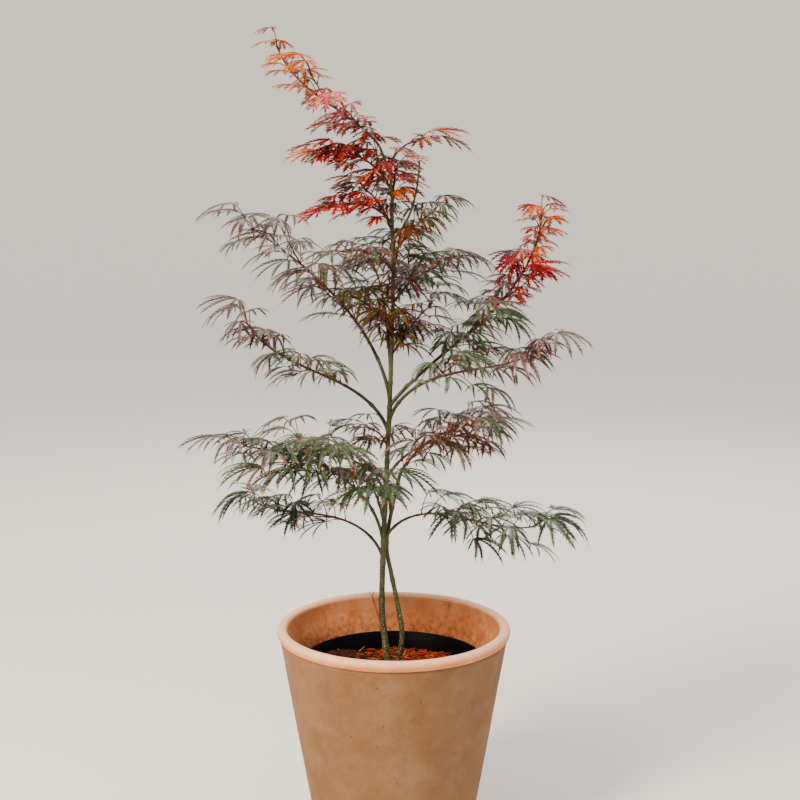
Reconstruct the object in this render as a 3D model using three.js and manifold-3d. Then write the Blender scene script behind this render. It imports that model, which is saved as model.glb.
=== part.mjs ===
// A young cut-leaf maple on two stems, standing in its grower's pot inside a clay planter.
// Units are millimetres, +Z is up, and the origin is the middle of the planter's flat underside.
// Azimuths are in degrees seen from above: 0 is +X, 90 is +Y.
import * as THREE from "three";
import { mergeVertices } from "three/addons/utils/BufferGeometryUtils.js";
import Module from "manifold-3d";

// Planter of thrown clay
const PLANTER_HEIGHT = 265;
const RIM_RADIUS = 140;
const LIP_HEIGHT = 12.5;
const LIP_OVERHANG = 3.2;
const BODY_TOP_RADIUS = RIM_RADIUS - LIP_OVERHANG;
const BASE_RADIUS = 93.5;
const WALL = 12;
const FLOOR = 14;
const PLANTER_SIDES = 36;

// Grower's pot of thin plastic, and the compost in it
const GAP = 0.3;
const POT_RIM_Z = 221;
const POT_RIM_RADIUS = 111;
const POT_BASE_RADIUS = 76;
const POT_WALL = 1.8;
const POT_LIP = 4;
const POT_SIDES = 28;
const SOIL_Z = 200;

// Stems: each path is a list of side shift, height above the soil and, off the main plane, depth;
// radii run from the foot to the tip
const FOOT_FLARE = 1.4;
const FLARE_HEIGHT = 34;
const MAIN_PATH = [
  [-4.5, 0],
  [-10.5, 45],
  [-14, 85],
  [-11.4, 182],
  [-5.3, 317],
  [-0.5, 457],
  [-1, 530],
  [-4, 600],
  [-16, 634],
];
const MAIN_RADII = [3.9, 1.5];
const SECOND_PATH = [
  [3.5, 0, 1],
  [6, 22, 0],
  [10, 50, 0],
  [5, 88, 1.5],
  [-3.5, 130, 5],
  [-8.5, 160, 7.5],
  [-2.5, 203, 8.5],
  [8, 248, 13],
];
const SECOND_RADII = [3.3, 2.2];

// Growth rule
const ARM_STEPS = 24;
const TRIES = 8;
const STALK_WIDTH = 1.1;
const TWIG_RADII = [1.15, 0.9];
const TWIG_SIDES = 4;
const TIP_FAN = [0, 62, -62];
const TIP_RADIUS = 1.1;
const FIRST_SEED = 11;
const LOBES = [
  { turn: -104, share: 0.44 },
  { turn: -66, share: 0.76 },
  { turn: -32, share: 0.94 },
  { turn: 0, share: 1 },
  { turn: 32, share: 0.94 },
  { turn: 66, share: 0.76 },
  { turn: 104, share: 0.44 },
];
const VALLEY = 0.23;
const BACK_TURN = 140;
const LEAF_THICKNESS = 1.2;
const CLEARANCE = 0.8;
const BOUGH_TAPER = 0.72;
const BOUGH_SIDES = 5;

// One row for each arm of the crown: its name; its height on the main stem, or the stem it grows on from;
// the way it faces; its length; its elevation at the root, the middle and the tip; the bare length before
// the first leaves; its radius at the root; the distance between pairs of leaves; leaf size, root and tip.
const ARMS = [
  ["low_left", 346, 165, 180, [78, 7, 19], 60, 2.0, 35, [58, 56]],
  ["low_right", 358, 350, 206, [86, -7, 17], 62, 2.0, 37, [62, 58]],
  ["low_back", 384, 106, 148, [66, 6, -6], 66, 1.9, 42, [60, 56]],
  ["low_left_high", 362, 202, 232, [86, 34, 12], 96, 2.2, 37, [64, 60]],
  ["mid_left", 441, 215, 148, [40, 18, -18], 52, 1.9, 33, [62, 58]],
  ["mid_back", 424, 122, 160, [52, 10, -10], 70, 1.9, 40, [62, 58]],
  ["mid_front", 432, 262, 104, [52, 14, -14], 48, 1.8, 33, [56, 56]],
  ["mid_right", 443, 327, 140, [63, 27, 16], 50, 2.0, 33, [62, 58]],
  ["second_stem", "second", 32, 118, [54, 24, 0], 0, 2.0, 44, [60, 58]],
  ["fork_left", 500, 188, 216, [74, 25, 60], 78, 2.4, 34, [64, 58]],
  ["fork_right_low", 513, 352, 210, [76, 13, 35], 52, 2.5, 37, [66, 60]],
  ["fork_right_high", 531, 12, 302, [50, 42, 91], 84, 2.5, 34, [62, 40]],
  ["fork_left_high", 541, 172, 268, [80, 47, 34], 96, 2.4, 36, [64, 56]],
  ["fork_back", 568, 98, 184, [74, 36, 12], 82, 2.4, 40, [62, 58]],
  ["fork_shoot", 480, 222, 42, [70, 44, 10], 0, 1.2, 40, [46, 46]],
  ["column_right_low", 592, 12, 74, [52, 54, 34], 0, 1.4, 33, [52, 54]],
  ["column_front_low", 608, 262, 50, [50, 40, 20], 0, 1.3, 31, [42, 44]],
  ["column_left_low", 622, 198, 66, [46, 42, 20], 0, 1.4, 33, [50, 52]],
  ["column_right", 652, 340, 76, [54, 40, 16], 0, 1.4, 33, [54, 56]],
  ["column_back", 668, 84, 84, [58, 36, 10], 0, 1.4, 35, [52, 52]],
  ["column_left", 690, 192, 66, [56, 24, -16], 0, 1.4, 33, [46, 48]],
  ["column_right_high", 706, 8, 70, [60, 48, 30], 0, 1.4, 33, [50, 50]],
  ["column_back_high", 734, 128, 74, [60, 44, 16], 0, 1.3, 33, [46, 46]],
  ["red_left_low", 744, 188, 68, [60, 20, -20], 0, 1.3, 29, [44, 46]],
  ["red_back", 762, 84, 58, [66, 48, 24], 0, 1.3, 33, [46, 46]],
  ["red_left_high", 782, 176, 84, [66, 36, -6], 0, 1.3, 29, [48, 46]],
  ["orange_right", 806, 6, 52, [78, 46, 4], 0, 1.2, 45, [34, 52]],
  ["leader", "main", 175, 166, [52, 35, 74], 0, 1.4, 29, [56, 34]],
].map(([name, from, facing, reach, rise, bare, thick, every, leaf], i) => {
  return { name, from, facing, reach, rise, bare, thick, every, leaf, seed: FIRST_SEED + i };
});

const PRUNED_SPUR = { from: 726, facing: 356, reach: 98, rise: [44, 74, 86], radii: [1.8, 1.2] };
const DEAD_TWIG = { from: 260, facing: 215, reach: 46, rise: [62, 70, 74], radii: [1.7, 1.1] };

// Finishes
const finish = (color, roughness) => new THREE.MeshStandardMaterial({ color, roughness, metalness: 0 });
const CLAY = finish(0xb98a66, 0.85);
const PLASTIC = finish(0x0f1112, 0.45);
const MULCH = finish(0x6a3420, 0.95);
const BARK = finish(0x4a4a35, 0.8);
const YOUNG_BARK = finish(0x4b3130, 0.6);
const LEAF_BRONZE = finish(0x4a5548, 0.55);
const LEAF_RED = finish(0xa23a30, 0.55);
const LEAF_ORANGE = finish(0xc8612f, 0.55);
const MASS_FINISH = {
  red_left_low: LEAF_RED,
  red_left_high: LEAF_RED,
  red_back: LEAF_RED,
  orange_right: LEAF_ORANGE,
  leader: LEAF_ORANGE,
};

const wasm = await Module();
wasm.setup();

const radians = THREE.MathUtils.degToRad;
const UP = new THREE.Vector3(0, 0, 1);

// A repeatable source of numbers between two limits.
function seeded(seed) {
  let state = seed;
  return (low, high) => {
    state = (state * 48271) % 2147483647;
    return low + ((high - low) * state) / 2147483647;
  };
}

function heading(azimuth, rise) {
  const a = radians(azimuth);
  const e = radians(rise);
  return new THREE.Vector3(Math.cos(e) * Math.cos(a), Math.cos(e) * Math.sin(a), Math.sin(e));
}

function solidOf(geometry) {
  const bare = geometry.clone();
  bare.deleteAttribute("normal");
  bare.deleteAttribute("uv");
  const merged = mergeVertices(bare, 1e-4);
  return new wasm.Manifold(
    new wasm.Mesh({
      numProp: 3,
      vertProperties: merged.attributes.position.array,
      triVerts: new Uint32Array(merged.index.array),
    }),
  );
}

function geometryOf(solid) {
  const mesh = solid.getMesh();
  const position = new Float32Array(mesh.numVert * 3);
  for (let i = 0; i < mesh.numVert; i += 1) {
    const start = i * mesh.numProp;
    position.set(mesh.vertProperties.subarray(start, start + 3), i * 3);
  }
  const geometry = new THREE.BufferGeometry();
  geometry.setAttribute("position", new THREE.BufferAttribute(position, 3));
  geometry.setIndex(new THREE.BufferAttribute(mesh.triVerts, 1));
  geometry.computeVertexNormals();
  return geometry;
}

function closedMesh(points, faces) {
  const geometry = new THREE.BufferGeometry().setFromPoints(points);
  geometry.setIndex(faces.flat());
  return geometry;
}

// A limb of round section along a curve, closed by a flat face at each end.
function limb(curve, radiusAt, sides, steps) {
  const frames = curve.computeFrenetFrames(steps, false);
  const points = [];
  const faces = [];
  for (let i = 0; i <= steps; i += 1) {
    const centre = curve.getPointAt(i / steps);
    for (let k = 0; k < sides; k += 1) {
      const turn = (k / sides) * 2 * Math.PI;
      const radius = radiusAt(i / steps);
      points.push(
        centre
          .clone()
          .addScaledVector(frames.normals[i], radius * Math.cos(turn))
          .addScaledVector(frames.binormals[i], radius * Math.sin(turn)),
      );
    }
  }
  for (let i = 0; i < steps; i += 1) {
    for (let k = 0; k < sides; k += 1) {
      const next = (k + 1) % sides;
      const [a, b, c, d] = [i * sides + k, i * sides + next, (i + 1) * sides + next, (i + 1) * sides + k];
      faces.push([a, b, c], [a, c, d]);
    }
  }
  for (let k = 1; k < sides - 1; k += 1) {
    faces.push([0, k + 1, k], [steps * sides, steps * sides + k, steps * sides + k + 1]);
  }
  return closedMesh(points, faces);
}

const taper = ([root, tip], grow = 0) => (t) => root + (tip - root) * t + grow;

// The line of an arm: its rise runs through the root's, the middle's and the tip's.
function armLine(start, { facing, reach, rise }) {
  const points = [start.clone()];
  for (let i = 0; i < ARM_STEPS; i += 1) {
    const t = (i + 0.5) / ARM_STEPS;
    const angle = rise[0] * (1 - t) * (1 - 2 * t) + 4 * rise[1] * t * (1 - t) + rise[2] * t * (2 * t - 1);
    points.push(points[i].clone().addScaledVector(heading(facing, angle), reach / ARM_STEPS));
  }
  return points;
}

// Place and direction at a distance along a line of points.
function along(points, distance) {
  const step = points[0].distanceTo(points[1]);
  const i = Math.min(points.length - 2, Math.floor(distance / step));
  const direction = points[i + 1].clone().sub(points[i]).normalize();
  return { place: points[i].clone().addScaledVector(direction, distance - i * step), direction };
}

function stretch(points, from, to) {
  const step = points[0].distanceTo(points[1]);
  const inner = points.filter((_, i) => i * step > from + 2 && i * step < to - 2);
  return new THREE.CatmullRomCurve3([along(points, from).place, ...inner, along(points, to - 1e-6).place]);
}

// A leaf of seven narrow lobes around one hub, its stalk running back into the twig, as one closed mesh.
function leafGeometry({ from, hub, forward, normal, size, droop }, pad) {
  const side = normal.clone().cross(forward);
  const half = (LEAF_THICKNESS + pad) / 2;
  const at = (turn, distance, height) =>
    hub
      .clone()
      .addScaledVector(forward, Math.cos(radians(turn)) * distance)
      .addScaledVector(side, Math.sin(radians(turn)) * distance)
      .addScaledVector(normal, height);
  const points = [at(0, 0, half), at(0, 0, -half)];
  const push = (point) => points.push(point) - 1;
  const heel = STALK_WIDTH + pad / 2;
  const valleys = [push(at(-BACK_TURN, heel, 0))];
  LOBES.slice(1).forEach(({ turn, share }, i) => {
    const reach = VALLEY * size * Math.min(share, LOBES[i].share) + pad / 2;
    valleys.push(push(at((LOBES[i].turn + turn) / 2, reach, -reach * droop * 0.3)));
  });
  valleys.push(push(at(BACK_TURN, heel, 0)));
  const faces = [];
  LOBES.forEach(({ turn, share }, i) => {
    const length = size * share + pad;
    const [right, left] = [valleys[i], valleys[i + 1]];
    const tip = push(at(turn, length * (1 - 0.3 * droop), -length * (0.1 + 0.55 * droop)));
    faces.push([1, tip, right], [1, left, tip], [0, right, tip], [0, tip, left]);
  });
  const [right, left] = [valleys[0], valleys.at(-1)];
  const back = from.clone().sub(hub);
  const above = back.dot(normal) > 0;
  const ridge = above ? 0 : 1;
  const [ridgeEnd, rightEnd, leftEnd] = [ridge, right, left].map((i) => push(points[i].clone().add(back)));
  const stalk = [
    [ridge, left, leftEnd],
    [ridge, leftEnd, ridgeEnd],
    [ridge, ridgeEnd, rightEnd],
    [ridge, rightEnd, right],
    [right, rightEnd, leftEnd],
    [right, leftEnd, left],
    [ridgeEnd, leftEnd, rightEnd],
    [1 - ridge, right, left],
  ];
  faces.push(...(above ? stalk : stalk.map(([i, j, k]) => [i, k, j])));
  return closedMesh(points, faces);
}

// Where a leaf sits on one try: its stalk leaves the twig sideways and lifts, and the blade faces the sky.
function leafPlace({ from, direction, sideways, size, seed }, attempt) {
  const random = seeded(seed * 13 + attempt * 1709);
  const out = direction.clone().multiplyScalar(random(0.3, 0.8)).addScaledVector(sideways, 0.75);
  out.addScaledVector(UP, random(0.05, 0.6)).normalize();
  const blade = size * random(0.86, 1.06);
  const hub = from.clone().addScaledVector(out, size * random(0.34, 0.6));
  const forward = new THREE.Vector3(out.x, out.y, 0).normalize().applyAxisAngle(UP, radians(random(-32, 32)));
  forward.addScaledVector(UP, -random(0, 0.42)).normalize();
  const tilt = new THREE.Vector3(random(-0.3, 0.3), random(-0.3, 0.3), 1);
  const normal = tilt.addScaledVector(forward, -tilt.dot(forward)).normalize();
  const foot = from.clone().addScaledVector(out, 0.4);
  return { from: foot, hub, forward, normal, size: blade, droop: random(0.1, 0.65) };
}

const bladeAlone = (leaf) => ({ ...leaf, from: leaf.hub.clone().lerp(leaf.from, 0.75) });

// Every place on a mass where a leaf may grow: opposite pairs, each turned from the one before, short
// side twigs instead of a leaf here and there, and a fan at each tip.
function growth(arm, points) {
  const random = seeded(arm.seed * 7);
  const leafy = arm.reach - arm.bare;
  const joints = Math.max(1, Math.round(leafy / arm.every) - 1);
  const spacing = leafy / (joints + 0.35);
  const twigs = [];
  const places = [];
  const leaf = (from, direction, sideways, size, twig) =>
    places.push({ from, direction, sideways, size, twig, seed: arm.seed * 41 + places.length });
  const fan = ({ place, direction }, size, twig) => {
    for (const turn of TIP_FAN) {
      const sideways = direction.clone().applyAxisAngle(UP, radians(turn + random(-10, 10)));
      leaf(place, direction, sideways, size, twig);
    }
  };
  for (let i = 0; i < joints; i += 1) {
    const { place, direction } = along(points, arm.bare + spacing * (i + 0.4));
    const level = new THREE.Vector3().crossVectors(UP, direction).normalize();
    const sideways = level.applyAxisAngle(direction, radians((i % 2 ? 58 : 12) + random(-16, 16)));
    const branching = i % 2 === 0 && i < joints - 1 ? Math.sign(random(-1, 1)) : 0;
    const size = taper(arm.leaf)(i / joints);
    for (const way of [1, -1]) {
      const outward = sideways.clone().multiplyScalar(way);
      if (way !== branching) {
        leaf(place, direction, outward, size);
        continue;
      }
      const heads = outward.addScaledVector(direction, 0.9).addScaledVector(UP, 0.2).normalize();
      const tip = place.clone().addScaledVector(heads, size * random(0.75, 1.05));
      twigs.push({ from: place, tip });
      fan({ place: tip, direction: heads }, size * 0.92, twigs.at(-1));
    }
  }
  fan(along(points, arm.reach - 1), arm.leaf[1]);
  return { twigs, places };
}

const meets = (a, b) => {
  const [p, q] = [a.boundingBox(), b.boundingBox()];
  const apart = [0, 1, 2].some((k) => p.min[k] > q.max[k] || q.min[k] > p.max[k]);
  return !apart && !a.intersect(b).isEmpty();
};

const largest = (solid) => solid.decompose().sort((a, b) => b.volume() - a.volume())[0];

// A turned piece from its outline of radius and height, both running up from the axis and back to it.
function turned(outline, sides) {
  const lathe = new THREE.LatheGeometry(outline.map(([r, z]) => new THREE.Vector2(r, z)), sides);
  return lathe.rotateX(Math.PI / 2);
}

function planterGeometry() {
  const bodyTop = PLANTER_HEIGHT - LIP_HEIGHT;
  const slope = (BODY_TOP_RADIUS - BASE_RADIUS) / bodyTop;
  const inside = (z) => BASE_RADIUS + slope * z - WALL;
  return turned(
    [
      [0, 0],
      [BASE_RADIUS - 3, 0],
      [BASE_RADIUS, 3],
      [BODY_TOP_RADIUS, bodyTop],
      [RIM_RADIUS - 1, bodyTop + 2],
      [RIM_RADIUS, bodyTop + 6],
      [RIM_RADIUS - 2, PLANTER_HEIGHT - 2],
      [RIM_RADIUS - 6.5, PLANTER_HEIGHT],
      [RIM_RADIUS - 11.3, PLANTER_HEIGHT - 3.5],
      [RIM_RADIUS - 12.5, bodyTop - 2],
      [inside(bodyTop - 16), bodyTop - 16],
      [inside(FLOOR), FLOOR],
      [0, FLOOR],
    ],
    PLANTER_SIDES,
  );
}

const potRadius = (z) => {
  const foot = FLOOR + GAP;
  return POT_BASE_RADIUS + ((POT_RIM_RADIUS - POT_LIP - POT_BASE_RADIUS) * (z - foot)) / (POT_RIM_Z - foot);
};

function growersPotGeometry() {
  const foot = FLOOR + GAP;
  const lipZ = POT_RIM_Z - 14;
  return turned(
    [
      [0, foot],
      [POT_BASE_RADIUS, foot],
      [potRadius(lipZ), lipZ],
      [POT_RIM_RADIUS, lipZ + 1],
      [POT_RIM_RADIUS, POT_RIM_Z],
      [POT_RIM_RADIUS - POT_WALL, POT_RIM_Z],
      [potRadius(lipZ) - POT_WALL, lipZ],
      [POT_BASE_RADIUS - POT_WALL, foot + POT_WALL],
      [0, foot + POT_WALL],
    ],
    POT_SIDES,
  );
}

// Compost with a top of bark mulch: flat round the stems, heaped and hollow further out.
function soilGeometry() {
  const foot = FLOOR + GAP + POT_WALL + GAP;
  const edge = (z) => potRadius(z) - POT_WALL - 1.2;
  const rings = [
    { radius: 0, wave: 0 },
    { radius: 24, wave: 0 },
    { radius: 48, wave: 2.2 },
    { radius: 72, wave: 2.8 },
    { radius: edge(SOIL_Z), wave: 1.6 },
  ];
  const top = rings.map(({ radius }) => [radius, SOIL_Z]).reverse();
  const lathe = turned([[0, foot], [edge(foot), foot], ...top], POT_SIDES);
  const position = lathe.attributes.position;
  for (let i = 0; i < position.count; i += 1) {
    const [x, y, z] = [position.getX(i), position.getY(i), position.getZ(i)];
    const ring = rings.find(({ radius }) => Math.abs(Math.hypot(x, y) - radius) < 0.5);
    if (z < SOIL_Z - 1 || !ring) continue;
    const angle = Math.atan2(y, x);
    const swell = Math.sin(3 * angle + ring.radius) * Math.cos(5 * angle - ring.radius / 9);
    position.setZ(i, SOIL_Z + ring.wave * swell);
  }
  return lathe;
}

const stemFoot = SOIL_Z + GAP;
const flared = (radii, length, grow = 0) => (t) => {
  const above = t * length;
  const flare = 1 + (FOOT_FLARE - 1) * Math.max(0, 1 - above / FLARE_HEIGHT) ** 2;
  return taper(radii)(t) * flare + grow;
};

function stemCurve(path) {
  return new THREE.CatmullRomCurve3(path.map(([x, up, y = 0]) => new THREE.Vector3(x, y, stemFoot + up)));
}

// The foot is cut flat and level, a hair above the mulch.
function stemSolid(curve, radii, sides, steps, grow = 0) {
  const length = curve.getLength();
  const geometry = limb(curve, flared(radii, length, grow), sides, steps);
  const position = geometry.attributes.position;
  for (let k = 0; k < sides; k += 1) position.setZ(k, stemFoot);
  return solidOf(geometry);
}

const mainCurve = stemCurve(MAIN_PATH);
const secondCurve = stemCurve(SECOND_PATH);

function onMain(height) {
  const steps = 400;
  for (let i = 0; i <= steps; i += 1) {
    const point = mainCurve.getPointAt(i / steps);
    if (point.z >= height) return point;
  }
  return mainCurve.getPointAt(1);
}

const root = new THREE.Group();
function add(name, geometry, material) {
  const mesh = new THREE.Mesh(geometry, material);
  mesh.name = name;
  root.add(mesh);
}

add("planter", planterGeometry(), CLAY);
add("growers_pot", growersPotGeometry(), PLASTIC);
add("mulch_and_compost", soilGeometry(), MULCH);

// Stems, with a little room around each for what grows from it
const mainRoom = stemSolid(mainCurve, MAIN_RADII, 10, 16, GAP);
const secondRoom = stemSolid(secondCurve, SECOND_RADII, 8, 12, GAP);
const deadLine = armLine(onMain(DEAD_TWIG.from), DEAD_TWIG);
const deadTwig = solidOf(limb(stretch(deadLine, 0, DEAD_TWIG.reach), taper(DEAD_TWIG.radii), 6, 5));
const main = stemSolid(mainCurve, MAIN_RADII, 10, 16).add(deadTwig);
const second = stemSolid(secondCurve, SECOND_RADII, 8, 12).subtract(mainRoom);
add("stem_main", geometryOf(main), BARK);
add("stem_second", geometryOf(second), BARK);

const spurLine = armLine(onMain(PRUNED_SPUR.from), PRUNED_SPUR);
const spurLimb = limb(stretch(spurLine, 0, PRUNED_SPUR.reach), taper(PRUNED_SPUR.radii), 6, 6);
const spur = solidOf(spurLimb).subtract(mainRoom);
add("bough_pruned_spur", geometryOf(spur), BARK);

const lines = {};
function armStart({ from }) {
  if (typeof from === "number") return onMain(from);
  const tip = (curve) => curve.getPointAt(1).addScaledVector(curve.getTangentAt(1), GAP);
  if (from === "main") return tip(mainCurve);
  return tip(secondCurve);
}

const limbs = [main, second, spur];
for (const arm of ARMS) {
  const points = armLine(armStart(arm), arm);
  lines[arm.name] = { arm, points };
  if (!arm.bare) continue;
  const curve = stretch(points, 0, arm.bare - GAP);
  const steps = Math.round(arm.bare / 15);
  const whole = solidOf(limb(curve, taper([arm.thick, arm.thick * BOUGH_TAPER]), BOUGH_SIDES, steps));
  const bough = largest(whole.subtract(mainRoom));
  limbs.push(bough);
  add("bough_" + arm.name, geometryOf(bough), YOUNG_BARK);
}

// Each mass grows from one tapering twig; the twigs come first, so that no leaf crosses another's.
const masses = Object.values(lines).map(({ arm, points }) => {
  const first = arm.bare ? arm.thick * BOUGH_TAPER : arm.thick;
  const steps = Math.max(2, Math.round((arm.reach - arm.bare) / 26));
  const twig = limb(stretch(points, arm.bare, arm.reach), taper([first, TIP_RADIUS]), TWIG_SIDES, steps);
  const stem = largest(solidOf(twig).subtract(mainRoom).subtract(secondRoom));
  return { arm, points, parts: [stem], blades: [stem] };
});

for (const mass of masses) {
  const { twigs, places } = growth(mass.arm, mass.points);
  const strangers = [...limbs, ...masses.filter((other) => other !== mass).flatMap(({ parts }) => parts)];
  const free = (solid, others) => !others.some((other) => meets(solid, other));
  const grown = new Set();
  for (const twig of twigs) {
    const line = new THREE.LineCurve3(twig.from, twig.tip);
    if (!free(solidOf(limb(line, taper(TWIG_RADII, CLEARANCE / 2), TWIG_SIDES, 1)), strangers)) continue;
    grown.add(twig);
    const solid = solidOf(limb(line, taper(TWIG_RADII), TWIG_SIDES, 1));
    mass.parts.push(solid);
    mass.blades.push(solid);
  }
  for (const place of places) {
    if (place.twig && !grown.has(place.twig)) continue;
    const tries = Array.from({ length: TRIES }, (_, attempt) => leafPlace(place, attempt));
    const leaf = tries.find((candidate) => {
      const blade = solidOf(leafGeometry(bladeAlone(candidate), CLEARANCE));
      return free(blade, mass.blades) && free(solidOf(leafGeometry(candidate, CLEARANCE)), strangers);
    });
    if (!leaf) continue;
    mass.parts.push(solidOf(leafGeometry(leaf, 0)));
    mass.blades.push(solidOf(leafGeometry(bladeAlone(leaf), 0)));
  }
}
for (const { arm, parts } of masses) {
  const whole = largest(wasm.Manifold.union(parts).simplify(0.002));
  add("foliage_" + arm.name, geometryOf(whole), MASS_FINISH[arm.name] ?? LEAF_BRONZE);
}
export default root;
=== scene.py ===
# A young cut-leaf maple on two stems, standing in its grower's pot inside a clay planter.
# The growing rule works in millimetres with +Z up, and every mesh is made in metres from it.
# Azimuths are in degrees seen from above: 0 is +X, 90 is +Y.
from functools import partial
from math import atan2, copysign, cos, exp, floor, hypot, log, pi, radians, sin

import bpy
import numpy as np
from mathutils import Matrix, Vector
from mathutils.bvhtree import BVHTree


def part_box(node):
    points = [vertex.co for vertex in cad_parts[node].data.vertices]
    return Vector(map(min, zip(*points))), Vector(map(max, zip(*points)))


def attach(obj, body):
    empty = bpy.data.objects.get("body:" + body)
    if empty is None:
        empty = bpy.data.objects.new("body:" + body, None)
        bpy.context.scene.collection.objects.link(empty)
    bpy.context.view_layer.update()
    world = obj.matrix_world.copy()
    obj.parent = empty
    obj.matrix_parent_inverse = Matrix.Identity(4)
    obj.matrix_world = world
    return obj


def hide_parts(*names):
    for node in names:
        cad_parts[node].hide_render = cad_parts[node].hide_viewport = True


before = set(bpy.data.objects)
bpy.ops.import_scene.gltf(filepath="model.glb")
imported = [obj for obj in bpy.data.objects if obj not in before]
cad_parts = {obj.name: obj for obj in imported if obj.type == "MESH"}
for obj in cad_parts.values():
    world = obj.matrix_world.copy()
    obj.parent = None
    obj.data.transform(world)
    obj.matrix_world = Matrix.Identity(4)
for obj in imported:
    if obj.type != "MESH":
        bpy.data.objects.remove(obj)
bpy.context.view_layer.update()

MM = 0.001
UP = Vector((0, 0, 1))

# Planter of thrown clay, its size read from the frame
PLANTER_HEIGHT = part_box("planter")[1].z / MM
RIM_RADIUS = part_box("planter")[1].x / MM
LIP_HEIGHT = 12.5
LIP_WIDTH = 12.5
LIP_OVERHANG = 3.2
BODY_TOP_RADIUS = RIM_RADIUS - LIP_OVERHANG
BASE_RADIUS = 93.5
WALL = 12
FLOOR = 14
PLANTER_SIDES = 160
# The lip's section is a little squarer than round; the lip's paler finish, partly painted highlight, ends a
# few rows down inside it
LIP_SQUARENESS = 0.84
LIP_ROWS = 31
LIP_TURNS = range(-80, 181, 8)
OUTSIDE_ROWS = 62
INSIDE_ROWS = 70
# The foot's rounded edge, and the floor's inside: how far inwards, and how far up
FOOT_EDGE = [(3, 0), (1, 0.6), (0.1, 2)]
FLOOR_EDGE = [(1.5, 2), (6, 0)]
# Under the lip the wall thickens softly, with two faint rings that far below the top
THROAT_DEPTH = 26
THROAT_RINGS = (17, 26)
THROAT_RING_WIDTH = 1.6
THROAT_RING_DEPTH = 0.35

# Grower's pot of thin plastic, and the compost in it
POT_FOOT_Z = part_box("growers_pot")[0].z / MM
POT_RIM_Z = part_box("growers_pot")[1].z / MM
POT_RIM_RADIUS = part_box("growers_pot")[1].x / MM
POT_BASE_RADIUS = 76
POT_WALL = 1.8
POT_LIP = 4
POT_BAND = 14
POT_SIDES = 96
# The band's section, up its face and over its rounded edge: how far inwards, and how far below the rim
POT_EDGE = [(0.6, POT_BAND), (0, POT_BAND - 1), (0, 0.9), (0.35, 0.2), (0.9, 0), (1.5, 0.2), (POT_WALL, 0.9)]
SOIL_Z = 200
BED_ROOM = 1.2
# Where the mulch is heaped: how high, the two ways to its middle, and how wide
HEAPS = [(4.5, 22, 24, 52), (12, -82, 48, 44)]
# It swells by that much, and outside that radius it falls away to the pot's wall
BED_SWELL = 1.5
BED_EDGE = 84
BED_EDGE_WIDTH = 20
BED_EDGE_DROP = 3.5
BED_HALF_WIDTH = 60

# Stems, as in the part: side shift, height above the soil and, off the main plane, depth
GAP = 0.3
STEM_FOOT = SOIL_Z + GAP
FOOT_FLARE = 1.4
FLARE_HEIGHT = 34
MAIN_PATH = [
    (-4.5, 0), (-10.5, 45), (-14, 85), (-11.4, 182), (-5.3, 317),
    (-0.5, 457), (-1, 530), (-4, 600), (-16, 634),
]
MAIN_RADII = (3.9, 1.5)
SECOND_PATH = [
    (3.5, 0, 1), (6, 22, 0), (10, 50, 0), (5, 88, 1.5),
    (-3.5, 130, 5), (-8.5, 160, 7.5), (-2.5, 203, 8.5), (8, 248, 13),
]
SECOND_RADII = (3.3, 2.2)
CURVE_STEPS = 400
FINE_STEPS = 200
# Swollen joints up each stem, and buds up the pruned spur, by their distance from its foot
MAIN_JOINTS = [38, 59, 96, 142, 168, 205, 243, 266, 302, 312, 331, 360]
SECOND_JOINTS = [30, 74, 121, 166, 210]
SPUR_BUDS = [24, 46, 60, 72, 84, 95]
PRUNED_SPUR = {"from": 726, "facing": 356, "reach": 98, "rise": (44, 74, 86), "radii": (1.7, 0.8)}
DEAD_TWIG = {"from": 260, "facing": 215, "reach": 46, "rise": (62, 70, 74), "radii": (1.7, 1.1)}
# The dead twig's tip parts into two prongs: which way each faces, and its rise; then along a prong, how far
# each place is from the tip, how much more it rises, and its radius
PRONGS = [(190, 48), (320, 60)]
PRONG_FORM = [(0, 0, 0.8), (3.4, 0, 0.75), (6.5, 12, 0.5)]
# Along a bud, how far each place stands out from the spur, and its radius
BUD_FORM = [(0, 0.9), (2.5, 1.0), (5.5, 0.3)]
# Bark swells in a collar round the dead twig's foot: the height from it and the radius
COLLAR = [(-5, 2.6), (-2.5, 3.4), (0, 3.7), (2, 3.2), (4.5, 2.2)]

# Growth rule, as in the part
ARM_STEPS = 24
TRIES = 8
STALK_WIDTH = 1.1
TIP_FAN = (0, 62, -62)
TIP_RADIUS = 1.1
FIRST_SEED = 11
LOBES = [(-104, 0.44), (-66, 0.76), (-32, 0.94), (0, 1), (32, 0.94), (66, 0.76), (104, 0.44)]
VALLEY = 0.23
BACK_TURN = 140
LEAF_THICKNESS = 1.2
CLEARANCE = 0.8
BOUGH_TAPER = 0.72
# Radius of the room kept round an arm's line, round a new side twig and round a grown one
ARM_ROOM = 1.3
NEW_TWIG_ROOM = 1.6
TWIG_ROOM = 1.1
STEM_ROD_STEPS = 20
# The share of a leaf's stalk, from its hub, that keeps clear of its own arm
CLEAR_STALK = 0.75

# Drawn sizes of what the room is kept for
SHOOT_TIP_RADIUS = TIP_RADIUS * 0.8
STALK_RADIUS = 0.58
STALK_STEPS = 6
BASAL_LOBES = [(-134, 0.27), (134, 0.27)]
SHORT_LOBE = 0.5
OTHER_SHARE = 0.34
AMBER_SHARE = 0.4

# Three tables by an arm's name, or by its kind, which is the first word of its name.
# How the finer growth fills an arm: room kept round a leaf's hub, and spurs to each joint
FINER = {
    "fork_right_high": (8, 5),
    "column": (9, 4),
    "red": (8, 4),
    "leader": (11, 2),
    "orange": (16, 2),
    "any": (12, 2),
}
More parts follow.
